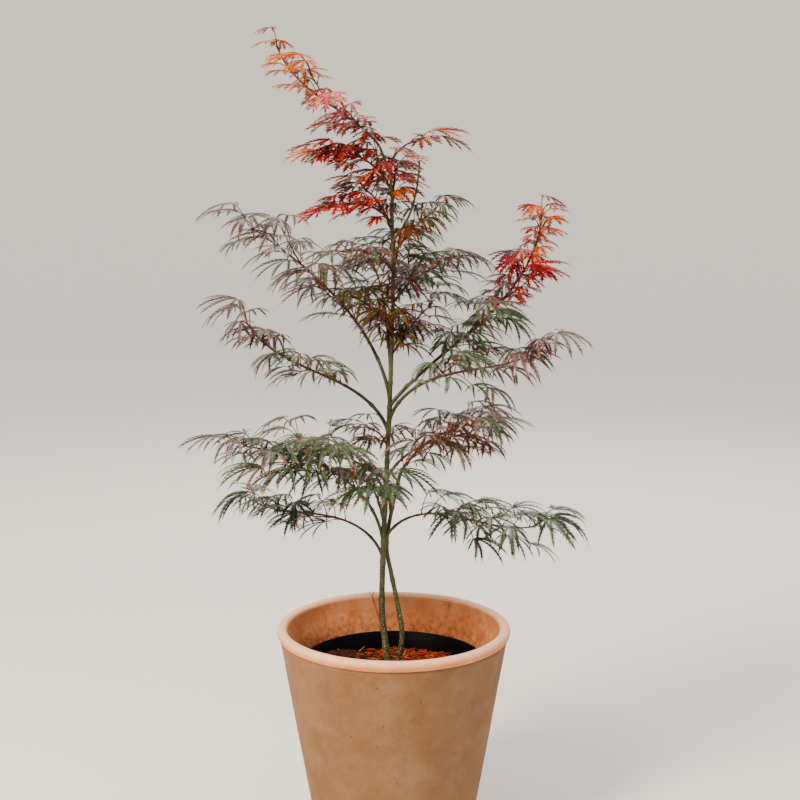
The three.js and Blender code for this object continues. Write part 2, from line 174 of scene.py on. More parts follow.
# The sprays that an arm deals out from its root to its tip, and how far each goes, as a share of the arm
DEALT = {
    "low": {"shade": 1},
    "low_left_high": {"dusk": 1},
    "mid": {"mist": 1},
    "mid_left": {"dusk": 1},
    "mid_right": {"dusk": 0.35, "russet": 1},
    "second": {"mist": 0.6, "russet": 1},
    "fork_left": {"mist": 0.5, "plum": 1},
    "fork_right_low": {"mist": 0.55, "plum": 1},
    "fork_right_high": {"mist": 0.52, "cherry": 0.76, "ember": 1},
    "fork_left_high": {"mist": 0.4, "plum": 1},
    "fork_back": {"dusk": 1},
    "fork_shoot": {"olive": 1},
    "column": {"olive": 1},
    "column_left": {"plum": 1},
    "column_back_high": {"olive": 0.4, "flame": 1},
    "red": {"flame": 1},
    "red_left_low": {"cherry": 1},
    "orange": {"fox": 1},
    "leader": {"flame": 0.06, "blush": 0.42, "copper": 1},
}
YOUNG_SPRAYS = ("flame", "cherry", "ember", "blush", "copper", "fox")
# The slot named for each joined piece of leaves
SLOTS = {
    "red": "leaf_red",
    "tuft": "leaf_red",
    "orange_right": "leaf_orange",
    "leader": "leaf_orange",
    "any": "leaf_bronze",
}

# One row for each arm of the crown: its name; its height on the main stem, or the stem it grows on from;
# the way it faces; its length; its elevation at the root, the middle and the tip; the bare length before
# the first leaves; its radius at the root; the distance between pairs of leaves; leaf size, root and tip.
ARMS = [
    ("low_left", 346, 165, 180, (78, 7, 19), 60, 2.0, 35, (58, 56)),
    ("low_right", 358, 350, 206, (86, -7, 17), 62, 2.0, 37, (62, 58)),
    ("low_back", 384, 106, 148, (66, 6, -6), 66, 1.9, 42, (60, 56)),
    ("low_left_high", 362, 202, 232, (86, 34, 12), 96, 2.2, 37, (64, 60)),
    ("mid_left", 441, 215, 148, (40, 18, -18), 52, 1.9, 33, (62, 58)),
    ("mid_back", 424, 122, 160, (52, 10, -10), 70, 1.9, 40, (62, 58)),
    ("mid_front", 432, 262, 104, (52, 14, -14), 48, 1.8, 33, (56, 56)),
    ("mid_right", 443, 327, 140, (63, 27, 16), 50, 2.0, 33, (62, 58)),
    ("second_stem", "second", 32, 118, (54, 24, 0), 0, 2.0, 44, (60, 58)),
    ("fork_left", 500, 188, 216, (74, 25, 60), 78, 2.4, 34, (64, 58)),
    ("fork_right_low", 513, 352, 210, (76, 13, 35), 52, 2.5, 37, (66, 60)),
    ("fork_right_high", 531, 12, 302, (50, 42, 91), 84, 2.5, 34, (62, 40)),
    ("fork_left_high", 541, 172, 268, (80, 47, 34), 96, 2.4, 36, (64, 56)),
    ("fork_back", 568, 98, 184, (74, 36, 12), 82, 2.4, 40, (62, 58)),
    ("fork_shoot", 480, 222, 42, (70, 44, 10), 0, 1.2, 40, (46, 46)),
    ("column_right_low", 592, 12, 74, (52, 54, 34), 0, 1.4, 33, (52, 54)),
    ("column_front_low", 608, 262, 50, (50, 40, 20), 0, 1.3, 31, (42, 44)),
    ("column_left_low", 622, 198, 66, (46, 42, 20), 0, 1.4, 33, (50, 52)),
    ("column_right", 652, 340, 76, (54, 40, 16), 0, 1.4, 33, (54, 56)),
    ("column_back", 668, 84, 84, (58, 36, 10), 0, 1.4, 35, (52, 52)),
    ("column_left", 690, 192, 66, (56, 24, -16), 0, 1.4, 33, (46, 48)),
    ("column_right_high", 706, 8, 70, (60, 48, 30), 0, 1.4, 33, (50, 50)),
    ("column_back_high", 734, 128, 74, (60, 44, 16), 0, 1.3, 33, (46, 46)),
    ("red_left_low", 744, 188, 68, (60, 20, -20), 0, 1.3, 29, (44, 46)),
    ("red_back", 762, 84, 58, (66, 48, 24), 0, 1.3, 33, (46, 46)),
    ("red_left_high", 782, 176, 84, (66, 36, -6), 0, 1.3, 29, (48, 46)),
    ("orange_right", 806, 6, 52, (78, 46, 4), 0, 1.2, 45, (34, 52)),
    ("leader", "main", 175, 166, (52, 35, 74), 0, 1.4, 29, (56, 34)),
]

# What each pattern of a finish measures on the real thing, in millimetres. Only the clay's grain is coarser:
# real sand is under a millimetre and wouldn't show. PORES_THIN_Z is the height from which pores are smallest.
CLAY_CLOUD = 70
CLAY_BLOOM = 34
CLAY_STAIN = 19
CLAY_EDGE = 7
CLAY_GROG = 19
CLAY_GRAIN = 1.8
PLASTIC_DUST = 9
PLASTIC_SCUFF = 2.5
SHRED_FIBRE = 3.2
BARK_CLOUD = 16
PORE_WIDTH = 0.7
PORE_LENGTH = 2.2
PORE_SPACING = 1.19
PORES_THIN_Z = 420
LEAF_VEIN = 5


# Colour and shading

def colour(code):
    """An sRGB hex colour as the linear values that a shader takes."""
    channels = [int(code[i : i + 2], 16) / 255 for i in (0, 2, 4)]
    return [c / 12.92 if c <= 0.04045 else ((c + 0.055) / 1.055) ** 2.4 for c in channels] + [1]


def per_metre(size):
    """How many times a pattern of that size in millimetres repeats in a metre."""
    return 1 / (size * MM)


def add_node(tree, kind, inputs=(), output=0, ramp=(), **settings):
    """Adds a node with its settings, its ramp's colours, and each input linked to a socket or set to a value,
    by name or in order; gives one of its outputs. A kind that doesn't say Node is one of the shader's."""
    made = tree.nodes.new(kind if "Node" in kind else "ShaderNode" + kind)
    for key, value in settings.items():
        setattr(made, key, value)
    named = inputs if isinstance(inputs, dict) else dict(enumerate(inputs))
    for key, value in named.items():
        if isinstance(value, bpy.types.NodeSocket):
            tree.links.new(value, made.inputs[key])
        else:
            made.inputs[key].default_value = value
    if ramp:
        stops = made.color_ramp.elements
        while len(stops) < len(ramp):
            stops.new(0.5)
        for stop, (position, code) in zip(stops, ramp):
            stop.position = position
            stop.color = colour(code)
    return made.outputs[output] if made.outputs else None


def new_material(name, **values):
    """A material whose shader has these constants, and what adds a node to it."""
    material = bpy.data.materials.new(name)
    material.use_nodes = True
    tree = material.node_tree
    for key, value in values.items():
        tree.nodes["Principled BSDF"].inputs[key.replace("_", " ")].default_value = value
    return material, partial(add_node, tree)


def surfaced(material, base, height, depth, **linked):
    """The material with its colour and with real relief too fine for the mesh: the height's full range stands
    for that depth in millimetres."""
    tree = material.node_tree
    relief = add_node(tree, "Bump", {"Height": height, "Distance": depth * MM})
    for key, value in {"Base Color": base, "Normal": relief, **linked}.items():
        tree.links.new(value, tree.nodes["Principled BSDF"].inputs[key])
    return material


def mottled(name, tones, noise, depth, **values):
    """A finish whose tones wander with one noise, and whose relief follows it."""
    material, add = new_material(name, **values)
    wander = add("TexNoise", {"Vector": add("TexCoord", output="Object"), **noise})
    return surfaced(material, add("ValToRGB", [wander], ramp=tones), wander, depth)


def fired_clay(name, ground, bloom, stain, shares, rise=None):
    """Terracotta, thrown and fired: dry and chalky. A lime bloom clouds it, damp has stained it in patches
    two centimetres wide, and dark grog specks show. Shares say how strong the bloom and the stains are. The
    rise tints the clay by height, on the lip a painted highlight along its top, inside a darkening towards
    the
    bottom: its colour, where it is full, where it ends, how evenly."""
    material, add = new_material(name, Roughness=0.84, IOR=1.5, Specular_IOR_Level=0.3)
    place = add("TexCoord", output="Object")
    cloud = add("TexNoise", {"Vector": place, "Scale": per_metre(CLAY_CLOUD), "Detail": 4, "Roughness": 0.55})
    colours = add("ValToRGB", [cloud], ramp=ground)
    layers = []
    patches = [
        (CLAY_BLOOM, 6, 0.62, (0.46, 0.68), shares[0], bloom, (0.4, 0.1, 0.2)),
        (CLAY_STAIN, 5, 0.66, (0.55, 0.7), shares[1], stain, (0.9, 0.3, 0.7)),
    ]
    for size, detail, rough, (low, high), share, tint, shift in patches:
        moved = add("Mapping", {"Vector": place, "Location": shift})
        noise = {"Vector": moved, "Scale": per_metre(size), "Detail": detail, "Roughness": rough}
        layers.append((add("MapRange", [add("TexNoise", noise), low, high, 0, share]), tint))
    # Tint by height: on the lip a painted highlight along its top, inside a darkening towards the bottom
    if rise:
        tint, full, none, least = rise
        height_mask = add("MapRange", [add("SeparateXYZ", [place], "Z"), full * MM, none * MM, 1, 0])
        edge = {"Vector": place, "Scale": per_metre(CLAY_EDGE), "Detail": 8, "Roughness": 0.7}
        broken = add("MapRange", [add("TexNoise", edge), 0.44, 0.6, least, 1])
        layers.append((add("Math", [height_mask, broken], operation="MULTIPLY"), tint))
    grog = add("TexVoronoi", {"Vector": place, "Scale": per_metre(CLAY_GROG)})
    layers.append((add("MapRange", [grog, 0.04, 0.07, 0.85, 0]), "4c2e1c"))
    for mask, tint in layers:
        colours = add("Mix", {0: mask, 6: colours, 7: colour(tint)}, 2, data_type="RGBA")
    grain = add("TexNoise", {"Vector": place, "Scale": per_metre(CLAY_GRAIN), "Detail": 3, "Roughness": 0.7})
    tone = add("MapRange", [grain, 0.3, 0.7, 0.93, 1.05])
    base = add("Mix", {0: 1, 6: colours, 7: tone}, 2, data_type="RGBA", blend_type="MULTIPLY")
    return surfaced(material, base, grain, 0.35)


def moulded_polypropylene():
    """Black polypropylene, injection moulded: near black, satin, with dust in its faint scuffs."""
    material, add = new_material("black_polypropylene", IOR=1.49, Specular_IOR_Level=0.08)
    place = add("TexCoord", output="Object")
    dust = add("TexNoise", {"Vector": place, "Scale": per_metre(PLASTIC_DUST), "Detail": 8})
    base = add("ValToRGB", [dust], ramp=[(0.5, "020303"), (0.74, "050606"), (0.84, "1a1613")])
    dull = add("MapRange", [dust, 0.35, 0.7, 0.42, 0.62])
    scuffs = add("TexNoise", {"Vector": place, "Scale": per_metre(PLASTIC_SCUFF), "Detail": 2})
    return surfaced(material, base, scuffs, 0.06, Roughness=dull)


def shredded_bark(name, dark, light):
    """Bark mulch, torn into shreds: matt and fibrous, its dark and light fibres a few millimetres across."""
    fibre = {"Scale": per_metre(SHRED_FIBRE), "Detail": 4, "Roughness": 0.7}
    return mottled(name, [(0.34, dark), (0.66, light)], fibre, 0.5, Roughness=0.9, Specular_IOR_Level=0.2)


def leaf_blade(name, base, deep, gloss=0.2):
    """Thin living leaf: a waxed skin whose gloss catches the lamp along each fold, and a tint that wanders
    between two tones over a few millimetres of vein."""
    veins = {"Scale": per_metre(LEAF_VEIN), "Detail": 3}
    skin = {"Roughness": 0.36, "IOR": 1.45, "Specular_IOR_Level": gloss}
    return mottled(name, [(0.36, deep), (0.6, base)], veins, 0.2, **skin)


def living_bark(name, under, over, fleck, fleck_share, rough):
    """Smooth young maple bark: waxy skin in two tones, flecked with pale breathing pores, which are drawn out
    upwards to two millimetres and are largest at the foot of the stems."""
    material, add = new_material(name, Roughness=rough, IOR=1.45, Specular_IOR_Level=0.4)
    place = add("TexCoord", output="Object")
    cloud = add("TexNoise", {"Vector": place, "Scale": per_metre(BARK_CLOUD), "Detail": 3})
    skin = add("ValToRGB", [cloud], ramp=[(0.38, under), (0.62, over)])
    drawn = add("Mapping", {"Vector": place, "Scale": (1, 1, PORE_WIDTH / PORE_LENGTH)})
    pores = add("TexVoronoi", {"Vector": drawn, "Scale": per_metre(PORE_SPACING)})
    outer = add("MapRange", [add("SeparateXYZ", [place], "Z"), SOIL_Z * MM, PORES_THIN_Z * MM, 0.42, 0.2])
    inner = add("Math", [outer, 0.6], operation="MULTIPLY")
    mask = add("MapRange", [pores, inner, outer, fleck_share, 0])
    base = add("Mix", {0: mask, 6: skin, 7: colour(fleck)}, 2, data_type="RGBA")
    return surfaced(material, base, pores, 0.25)


CLAY_OUTSIDE = fired_clay(
    "terracotta_outside",
    [(0.36, "7a5535"), (0.5, "805b3b"), (0.64, "866142")],
    "957758",
    "7a441a",
    (0.34, 0.42),
)
# The lip: its own pink-orange, made paler for the light on its top, so partly painted highlight; its rise is
# a painted highlight along the top six millimetres
CLAY_LIP = fired_clay(
    "terracotta_lip",
    [(0.36, "cc7c46"), (0.5, "d68852"), (0.64, "dc9462")],
    "f0bc92",
    "b8703c",
    (0.4, 0.3),
    ("fbcaa8", PLANTER_HEIGHT - 1, PLANTER_HEIGHT - 7, 0.8),
)
# The inside: its own orange, made lighter to offset the shade inside the planter, so partly painted light;
# its rise darkens the wall towards the bottom
CLAY_INSIDE = fired_clay(
    "terracotta_inside",
    [(0.36, "ce7a44"), (0.5, "da8850"), (0.64, "e29860")],
    "ecb088",
    "944a16",
    (0.45, 0.5),
    ("8a4014", POT_RIM_Z - 10, PLANTER_HEIGHT - LIP_HEIGHT, 0.1),
)
CLAY_ZONES = {"Outside": CLAY_OUTSIDE, "Lip": CLAY_LIP, "Inside": CLAY_INSIDE}
OUTSIDE, LIP, INSIDE = range(3)
POT_BLACK = moulded_polypropylene()
MULCH_DARK = shredded_bark("bark_shreds_damp", "1a0a06", "42180f")
MULCH_RED = shredded_bark("bark_shreds_red", "4e1a0c", "863012")
MULCH_BRIGHT = shredded_bark("bark_shreds_fresh", "7a280a", "b64c18")
MULCH_STRAW = shredded_bark("bark_slivers_pale", "9a6a3c", "c99c66")
COMPOST = shredded_bark("compost_crumb", "0f0806", "2a140c")
BARK_OLD = living_bark("maple_bark_olive", "2c3016", "484c28", "a6a68a", 0.6, 0.6)
BARK_GREEN = living_bark("maple_bark_green", "26280f", "444622", "868052", 0.3, 0.45)
BARK_YOUNG = living_bark("maple_bark_purple", "24130e", "402620", "8c6650", 0.3, 0.42)
BARK_SHOOT = living_bark("maple_shoot_russet", "30160c", "4e2a18", "86603c", 0.3, 0.4)
BARK_DEAD = living_bark("dry_twig_tan", "6e3e1c", "9c6a38", "c49a68", 0.4, 0.8)
STALK_RED = leaf_blade("leaf_stalk_red", "70280c", "481806")
STALK_AMBER = leaf_blade("leaf_stalk_amber", "86560f", "5e3808")

# Each blade's two tones and how glossy it is
BLADE_FINISHES = {
    "green_deep": ("192c0e", "091203", 0.7),
    "green_leaf": ("31461c", "142008", 0.7),
    "green_grey": ("4a5c34", "1f2813", 0.8),
    "grey_pale": ("7e8464", "3e442c", 0.8),
    "grey_warm": ("786255", "38271f", 0.8),
    "olive": ("544804", "2a2402", 0.15),
    "bronze": ("4a2e14", "24150a", 0.2),
    "rust": ("6c300a", "3a1804", 0.15),
    "mauve": ("6c4a44", "301d19", 0.8),
    "plum": ("421a17", "1e0907", 0.5),
    "crimson": ("78040a", "420206", 0.15),
    "scarlet": ("a81c02", "6a0e00", 0.15),
    "rose": ("b8444a", "78201f", 0.3),
    "blush": ("d4846c", "983e30", 0.3),
    "orange": ("c45800", "803000", 0.12),
    "amber": ("cc7606", "8c4400", 0.12),
    "tip_rust": ("641f08", "3c1103", 0.15),
    "tip_brown": ("3e1e07", "231103", 0.15),
}
BLADES = {name: leaf_blade("maple_leaf_" + name, *values) for name, values in BLADE_FINISHES.items()}
BLADE_ORDER = list(BLADES)

# The colours that each spray deals out, three to a leaf: its blade, its other tone and its tips
SPRAYS = {
    "shade": [
        "green_deep green_leaf tip_brown", "green_deep green_grey tip_rust", "green_leaf green_deep tip_rust",
        "olive green_deep tip_brown",
    ],
    "dusk": [
        "green_grey mauve tip_rust", "mauve plum tip_rust", "grey_warm green_grey tip_rust",
        "green_leaf green_grey tip_rust", "green_grey green_deep tip_brown", "green_grey grey_pale tip_rust",
        "plum green_grey tip_rust",
    ],
    "plum": [
        "mauve grey_warm tip_rust", "plum mauve tip_rust", "grey_warm mauve tip_rust",
        "mauve green_grey tip_rust", "green_grey mauve tip_rust",
    ],
    "olive": [
        "olive bronze tip_rust", "green_deep olive tip_brown", "bronze mauve tip_brown",
        "olive green_leaf tip_brown", "plum olive tip_rust", "rust olive tip_rust",
    ],
    "russet": [
        "bronze mauve tip_rust", "mauve rust tip_rust", "grey_warm green_grey tip_rust",
        "green_grey bronze tip_rust", "green_leaf grey_pale tip_rust", "rust orange scarlet",
    ],
    "mist": [
        "green_leaf green_grey tip_rust", "green_grey grey_pale tip_rust", "green_grey green_leaf tip_rust",
        "grey_warm mauve tip_rust", "green_grey mauve tip_rust",
    ],
    "flame": [
        "crimson scarlet scarlet", "rust crimson scarlet", "scarlet orange orange", "rose crimson crimson",
        "crimson rose rose", "plum scarlet crimson", "orange rust scarlet",
    ],
    "cherry": [
        "crimson plum crimson", "rust crimson scarlet", "rose mauve crimson", "crimson scarlet scarlet",
        "plum rose crimson", "scarlet crimson rose",
    ],
    "ember": [
        "scarlet orange scarlet", "rust scarlet scarlet", "crimson rose crimson", "orange scarlet scarlet",
        "plum rose scarlet", "scarlet rose crimson",
    ],
    "blush": [
        "rose blush crimson", "blush rose scarlet", "scarlet rose crimson", "crimson rose scarlet",
    ],
    "copper": [
        "orange amber orange", "amber orange amber", "orange rust amber",
    ],
    "fox": [
        "orange rust scarlet", "rust orange orange",
    ],
}


# Meshes

def link_object(name, data):
    """A new object with that data, in the scene."""
    made = bpy.data.objects.new(name, data)
    bpy.context.scene.collection.objects.link(made)
    return made


def mesh_piece(name, points, faces, materials, face_materials=None, smooth=True):
    """A mesh object made from points in millimetres."""
    mesh = bpy.data.meshes.new(name)
    mesh.from_pydata((np.asarray(points) * MM).tolist(), [], faces)
    for material in materials:
        mesh.materials.append(material)
    if face_materials is not None:
        mesh.polygons.foreach_set("material_index", face_materials)
    mesh.polygons.foreach_set("use_smooth", [smooth] * len(mesh.polygons))
    mesh.update()
    return link_object(name, mesh)


def run_geometry_nodes(source, tree, values, name, keep_source=False):
    """What the tree makes of the source object, as a plain mesh object; values are by the inputs' names."""
    modifier = source.modifiers.new(tree.name, "NODES")
    modifier.node_group = tree
    for socket in tree.interface.items_tree:
        if getattr(socket, "in_out", "") == "INPUT" and socket.name in values:
            modifier[socket.identifier] = values[socket.name]
    source.update_tag()
    bpy.context.view_layer.update()
    evaluated = source.evaluated_get(bpy.context.evaluated_depsgraph_get())
    mesh = bpy.data.meshes.new_from_object(evaluated)
    mesh.name = name
    source.modifiers.remove(modifier)
    if not keep_source:
        bpy.data.objects.remove(source)
    return link_object(name, mesh)


def finish_piece(piece, slot, *nodes):
    """The piece rides on the one body and stands for those nodes, which are hidden; the slot is not used."""
    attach(piece, "root")
    if nodes:
        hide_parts(*nodes)


def ring_faces(first, sides):
    """The faces between one ring of points and the next, which starts where the first ends."""
    for k in range(sides):
        n = (k + 1) % sides
        yield first + k, first + n, first + sides + n, first + sides + k


def turned(name, outline, sides, materials, zones=None):
    """A turned piece from its outline of radius and height, which starts and ends on the axis. The zones, one
    number for each row of faces, are kept as an attribute."""
    outline = np.array(outline, float)
    turns = np.arange(sides) * 2 * pi / sides
    inner = outline[1:-1]
    ring = np.stack([np.cos(turns), np.sin(turns)], 1)
    points = [(0, 0, outline[0][1])]
    points += [(r * c, r * s, z) for r, z in inner for c, s in ring]
    points.append((0, 0, outline[-1][1]))
    last = len(points) - 1
    faces = [(0, 1 + (k + 1) % sides, 1 + k) for k in range(sides)]
    for row in range(len(inner) - 1):
        faces += ring_faces(1 + row * sides, sides)
    start = 1 + (len(inner) - 1) * sides
    faces += [(last, start + k, start + (k + 1) % sides) for k in range(sides)]
    piece = mesh_piece(name, points, faces, materials)
    if zones:
        kept = piece.data.attributes.new("zone", "INT", "FACE")
        kept.data.foreach_set("value", np.repeat(zones, sides))
    return piece


# Geometry Nodes trees

def new_tree(name, inputs):
    """A geometry tree with these named inputs after its geometry; gives it, what adds a node to it, and its
    input sockets."""
    tree = bpy.data.node_groups.new(name, "GeometryNodeTree")
    tree.interface.new_socket("Geometry", in_out="INPUT", socket_type="NodeSocketGeometry")
    for label, kind in inputs.items():
        tree.interface.new_socket(label, in_out="INPUT", socket_type="NodeSocket" + kind)
    tree.interface.new_socket("Geometry", in_out="OUTPUT", socket_type="NodeSocketGeometry")
    return tree, partial(add_node, tree), tree.nodes.new("NodeGroupInput").outputs


def close_tree(add, geometry, material):
    """Ends a tree: what it made is realized and given its material."""
    real = add("GeometryNodeRealizeInstances", [geometry])
    dressed = add("GeometryNodeSetMaterial", {"Geometry": real, "Material": material})
    add("NodeGroupOutput", [dressed])


def unevenness(add, place, squash, size, depth, **noise):
    """How far a surface stands off its even form: it wanders over that size, half that depth each way."""
    squashed = add("VectorMath", [place, squash], operation="MULTIPLY")
    many = add("Math", [1.0, size], operation="DIVIDE")
    wander = add("TexNoise", {"Vector": squashed, "Scale": many, **noise})
    centred = add("Math", [wander, 0.5], operation="SUBTRACT")
    return add("Math", [centred, depth], operation="MULTIPLY")


def lifted(add, geometry, distance):
    """The geometry with each point moved that far out along its normal."""
    lift = add("VectorMath", {0: add("GeometryNodeInputNormal"), "Scale": distance}, operation="SCALE")
    return add("GeometryNodeSetPosition", {"Geometry": geometry, "Offset": lift})


def limb_tree():
    """Bark along every path of a curve object: a round section as wide as the path says, with its relief."""
    sizes = {"Step": "Float", "Sides": "Int", "Relief depth": "Float", "Relief size": "Float"}
    tree, add, given = new_tree("limb_bark", {**sizes, "Material": "Material"})
    evenly = {"Curve": given["Geometry"], "Length": given["Step"]}
    path = add("GeometryNodeResampleCurve", evenly, mode="LENGTH")
    section = add("GeometryNodeCurvePrimitiveCircle", {"Resolution": given["Sides"], "Radius": 1.0})
    swept = {"Curve": path, "Profile Curve": section, "Scale": add("GeometryNodeInputRadius")}
    tube = add("GeometryNodeCurveToMesh", {**swept, "Fill Caps": True})
    place = add("GeometryNodeInputPosition")
    size, depth = given["Relief size"], given["Relief depth"]
    ridges = unevenness(add, place, (1, 1, 0.35), size, depth, Detail=3, Roughness=0.55)
    close_tree(add, add("GeometryNodeSetShadeSmooth", [lifted(add, tube, ridges)]), given["Material"])
    return tree


def hand_marks_tree():
    """The marks of the wheel and the hand: faint rings up the wall, and a slow wander out of round. Each zone
    then takes its own finish."""
    sizes = dict.fromkeys(("Ring depth", "Ring spacing", "Wander", "Wander size"), "Float")
    tree, add, given = new_tree("hand_marks", {**sizes, **dict.fromkeys(CLAY_ZONES, "Material")})
    place = add("GeometryNodeInputPosition")
    rings = unevenness(add, place, (0.25, 0.25, 1), given["Ring spacing"], given["Ring depth"], Detail=2)
    wander = unevenness(add, place, (1, 1, 1), given["Wander size"], given["Wander"], Detail=2)
    both = add("Math", [rings, wander], operation="ADD")
    off_floor = add("MapRange", [add("SeparateXYZ", [place], "Z"), 2 * MM, 10 * MM, 0, both])
    dressed = add("GeometryNodeRealizeInstances", [lifted(add, given["Geometry"], off_floor)])
    zone = add("GeometryNodeInputNamedAttribute", {"Name": "zone"}, "Attribute", data_type="INT")
    for number, label in enumerate(CLAY_ZONES):
        here = add("FunctionNodeCompare", {2: zone, 3: number}, data_type="INT", operation="EQUAL")
        dressed = add("GeometryNodeSetMaterial", [dressed, here, given[label]])
    add("NodeGroupOutput", [dressed])
    return tree


def strewn_tree():
    """One kind of shred strewn over the bed, more of it to one side: each lies near flat, turned anyhow."""
    floats = ("Density", "Left share", "Right share", "Half width", "Smallest", "Largest", "Tilt")
    kinds = {"Shred": "Object", **dict.fromkeys(floats, "Float"), "Seed": "Int", "Material": "Material"}
    tree, add, given = new_tree("strewn_shreds", kinds)
    seed = {"Seed": given["Seed"]}
    across = add("SeparateXYZ", [add("GeometryNodeInputPosition")], "X")
    upward = add("SeparateXYZ", [add("GeometryNodeInputNormal")], "Z")
    top = add("FunctionNodeCompare", [upward, 0.5], operation="GREATER_THAN")
    left = add("Math", [given["Half width"], -1.0], operation="MULTIPLY")
    share = add("MapRange", [across, left, given["Half width"], given["Left share"], given["Right share"]])
    thick = add("Math", [share, given["Density"]], operation="MULTIPLY")
    bed = {"Mesh": given["Geometry"], "Selection": top, "Density": thick, **seed}
    strewn = add("GeometryNodeDistributePointsOnFaces", bed, "Points")
    tilt = add("Math", [given["Tilt"], -1.0], operation="MULTIPLY")
    low = add("CombineXYZ", [tilt, tilt, 0.0])
    high = add("CombineXYZ", [given["Tilt"], given["Tilt"], 2 * pi])
    turn = add("FunctionNodeRandomValue", {0: low, 1: high, **seed}, data_type="FLOAT_VECTOR")
    rotation = add("FunctionNodeEulerToRotation", [turn])
    sizes = {2: given["Smallest"], 3: given["Largest"], **seed}
    size = add("FunctionNodeRandomValue", sizes, 1, data_type="FLOAT")
    shred = add("GeometryNodeObjectInfo", {"Object": given["Shred"]}, "Geometry")
    laid = {"Points": strewn, "Instance": shred, "Rotation": rotation, "Scale": size}
    close_tree(add, add("GeometryNodeInstanceOnPoints", laid), given["Material"])
    return tree


LIMB_TREE = limb_tree()


def paths_object(name, paths):
    """A curve object with one straight-segment path for each list of (point, radius), in millimetres."""
    data = bpy.data.curves.new(name, "CURVE")
    data.dimensions = "3D"
    for path in paths:
        spline = data.splines.new("POLY")
        spline.points.add(len(path) - 1)
        for point, (place, radius) in zip(spline.points, path):
            point.co = [*(Vector(place) * MM), 1]
            point.radius = radius * MM
    return link_object(name, data)


def limbs(name, slot, paths, material, step, sides, relief, *nodes):
    """One piece of round limbs along these paths; step and the relief's depth and size are in millimetres."""
    values = {"Step": step * MM, "Sides": sides, "Material": material}
    values.update({"Relief depth": relief[0] * MM, "Relief size": relief[1] * MM})
    made = run_geometry_nodes(paths_object(name + "_paths", paths), LIMB_TREE, values, name)
    finish_piece(made, slot, *nodes)


# The growing rule

def seeded(seed):
    """A repeatable source of numbers between two limits. Each use multiplies its seed by a number of its own,
    so that their runs differ."""
    state = seed

    def draw(low, high):
        nonlocal state
        state = state * 48271 % 2147483647
        return low + (high - low) * state / 2147483647

    return draw


def heading(azimuth, rise):
    """The direction that faces that azimuth at that rise, in degrees."""
    a = radians(azimuth)
    e = radians(rise)
    return Vector((cos(e) * cos(a), cos(e) * sin(a), sin(e)))


def turned_round(vector, axis, degrees):
    return Matrix.Rotation(radians(degrees), 3, axis) @ vector


def between(ends, t):
    """The value that share of the way from the first end to the second."""
    return ends[0] + (ends[1] - ends[0]) * t


def kind_of(name):
    return name.split("_")[0]


def entry(table, name):
    """What a table holds for a name, for its kind, or for any."""
    return next(table[key] for key in (name, kind_of(name), "any") if key in table)


def stem_curve(path):
    """A smooth curve through a stem's points, as equally spaced places along it, and its length."""
    given = np.array([(row[0], row[2] if len(row) > 2 else 0, STEM_FOOT + row[1]) for row in path])
    points = np.vstack([2 * given[0] - given[1], given, 2 * given[-1] - given[-2]])
    fine = []
    for t in np.linspace(0, 1, FINE_STEPS + 1) * (len(given) - 1):
        i = min(int(t), len(given) - 2)
        w = t - i
        p = points[i : i + 4]
        before, within, after = np.linalg.norm(p[1:] - p[:-1], axis=1) ** 0.5
        first = (p[1] - p[0]) / before - (p[2] - p[0]) / (before + within) + (p[2] - p[1]) / within
        last = (p[2] - p[1]) / within - (p[3] - p[1]) / (within + after) + (p[3] - p[2]) / after
        first = first * within
        last = last * within
        square = 3 * (p[2] - p[1]) - 2 * first - last
        cube = 2 * (p[1] - p[2]) + first + last
        fine.append(p[1] + first * w + square * w**2 + cube * w**3)
    fine = np.array(fine)
    run = np.concatenate([[0], np.cumsum(np.linalg.norm(np.diff(fine, axis=0), axis=1))])
    even = np.linspace(0, run[-1], CURVE_STEPS + 1)
    places = np.stack([np.interp(even, run, fine[:, k]) for k in range(3)], 1)
    return [Vector(p) for p in places], run[-1]


MAIN_CURVE, MAIN_LENGTH = stem_curve(MAIN_PATH)
SECOND_CURVE, SECOND_LENGTH = stem_curve(SECOND_PATH)


def arm_start(source):
    """Where an arm leaves the main stem, at a height, or carries on from a stem's tip."""
    if source in ("main", "second"):
        curve = MAIN_CURVE if source == "main" else SECOND_CURVE
        return curve[-1] + (curve[-1] - curve[-2]).normalized() * GAP
    return next((p for p in MAIN_CURVE if p.z >= source), MAIN_CURVE[-1]).copy()


def arm_line(arm):
    """The line of an arm: its rise runs through the root's, the middle's and the tip's."""
    rise = arm["rise"]
    points = [arm_start(arm["from"])]
    for i in range(ARM_STEPS):
        t = (i + 0.5) / ARM_STEPS
        angle = rise[0] * (1 - t) * (1 - 2 * t) + 4 * rise[1] * t * (1 - t) + rise[2] * t * (2 * t - 1)
        points.append(points[i] + heading(arm["facing"], angle) * (arm["reach"] / ARM_STEPS))
    return points


def along(points, distance):
    """Place and direction at a distance along a line of points."""
    step = (points[1] - points[0]).length
    i = min(len(points) - 2, int(distance / step))
    direction = (points[i + 1] - points[i]).normalized()
    return points[i] + direction * (distance - i * step), direction


def leaf_place(place, attempt):
    """Where a leaf sits on one try: its stalk leaves the twig sideways and lifts; the blade faces the sky."""
    draw = seeded(place["seed"] * 13 + attempt * 1709)
    out = place["direction"] * draw(0.3, 0.8) + place["sideways"] * 0.75
    out = (out + UP * draw(0.05, 0.6)).normalized()
    size = place["size"]
    blade = size * draw(0.86, 1.06)
    hub = place["from"] + out * (size * draw(0.34, 0.6))
    level = Vector((out.x, out.y, 0)).normalized()
    forward = turned_round(level, UP, draw(-32, 32))
    forward = (forward - UP * draw(0, 0.42)).normalized()
    tilt = Vector((draw(-0.3, 0.3), draw(-0.3, 0.3), 1))
    normal = (tilt - forward * tilt.dot(forward)).normalized()
    set_out = {"from": place["from"] + out * 0.4, "hub": hub, "forward": forward, "normal": normal}
    return {**place, **set_out, "size": blade, "droop": draw(0.1, 0.65)}


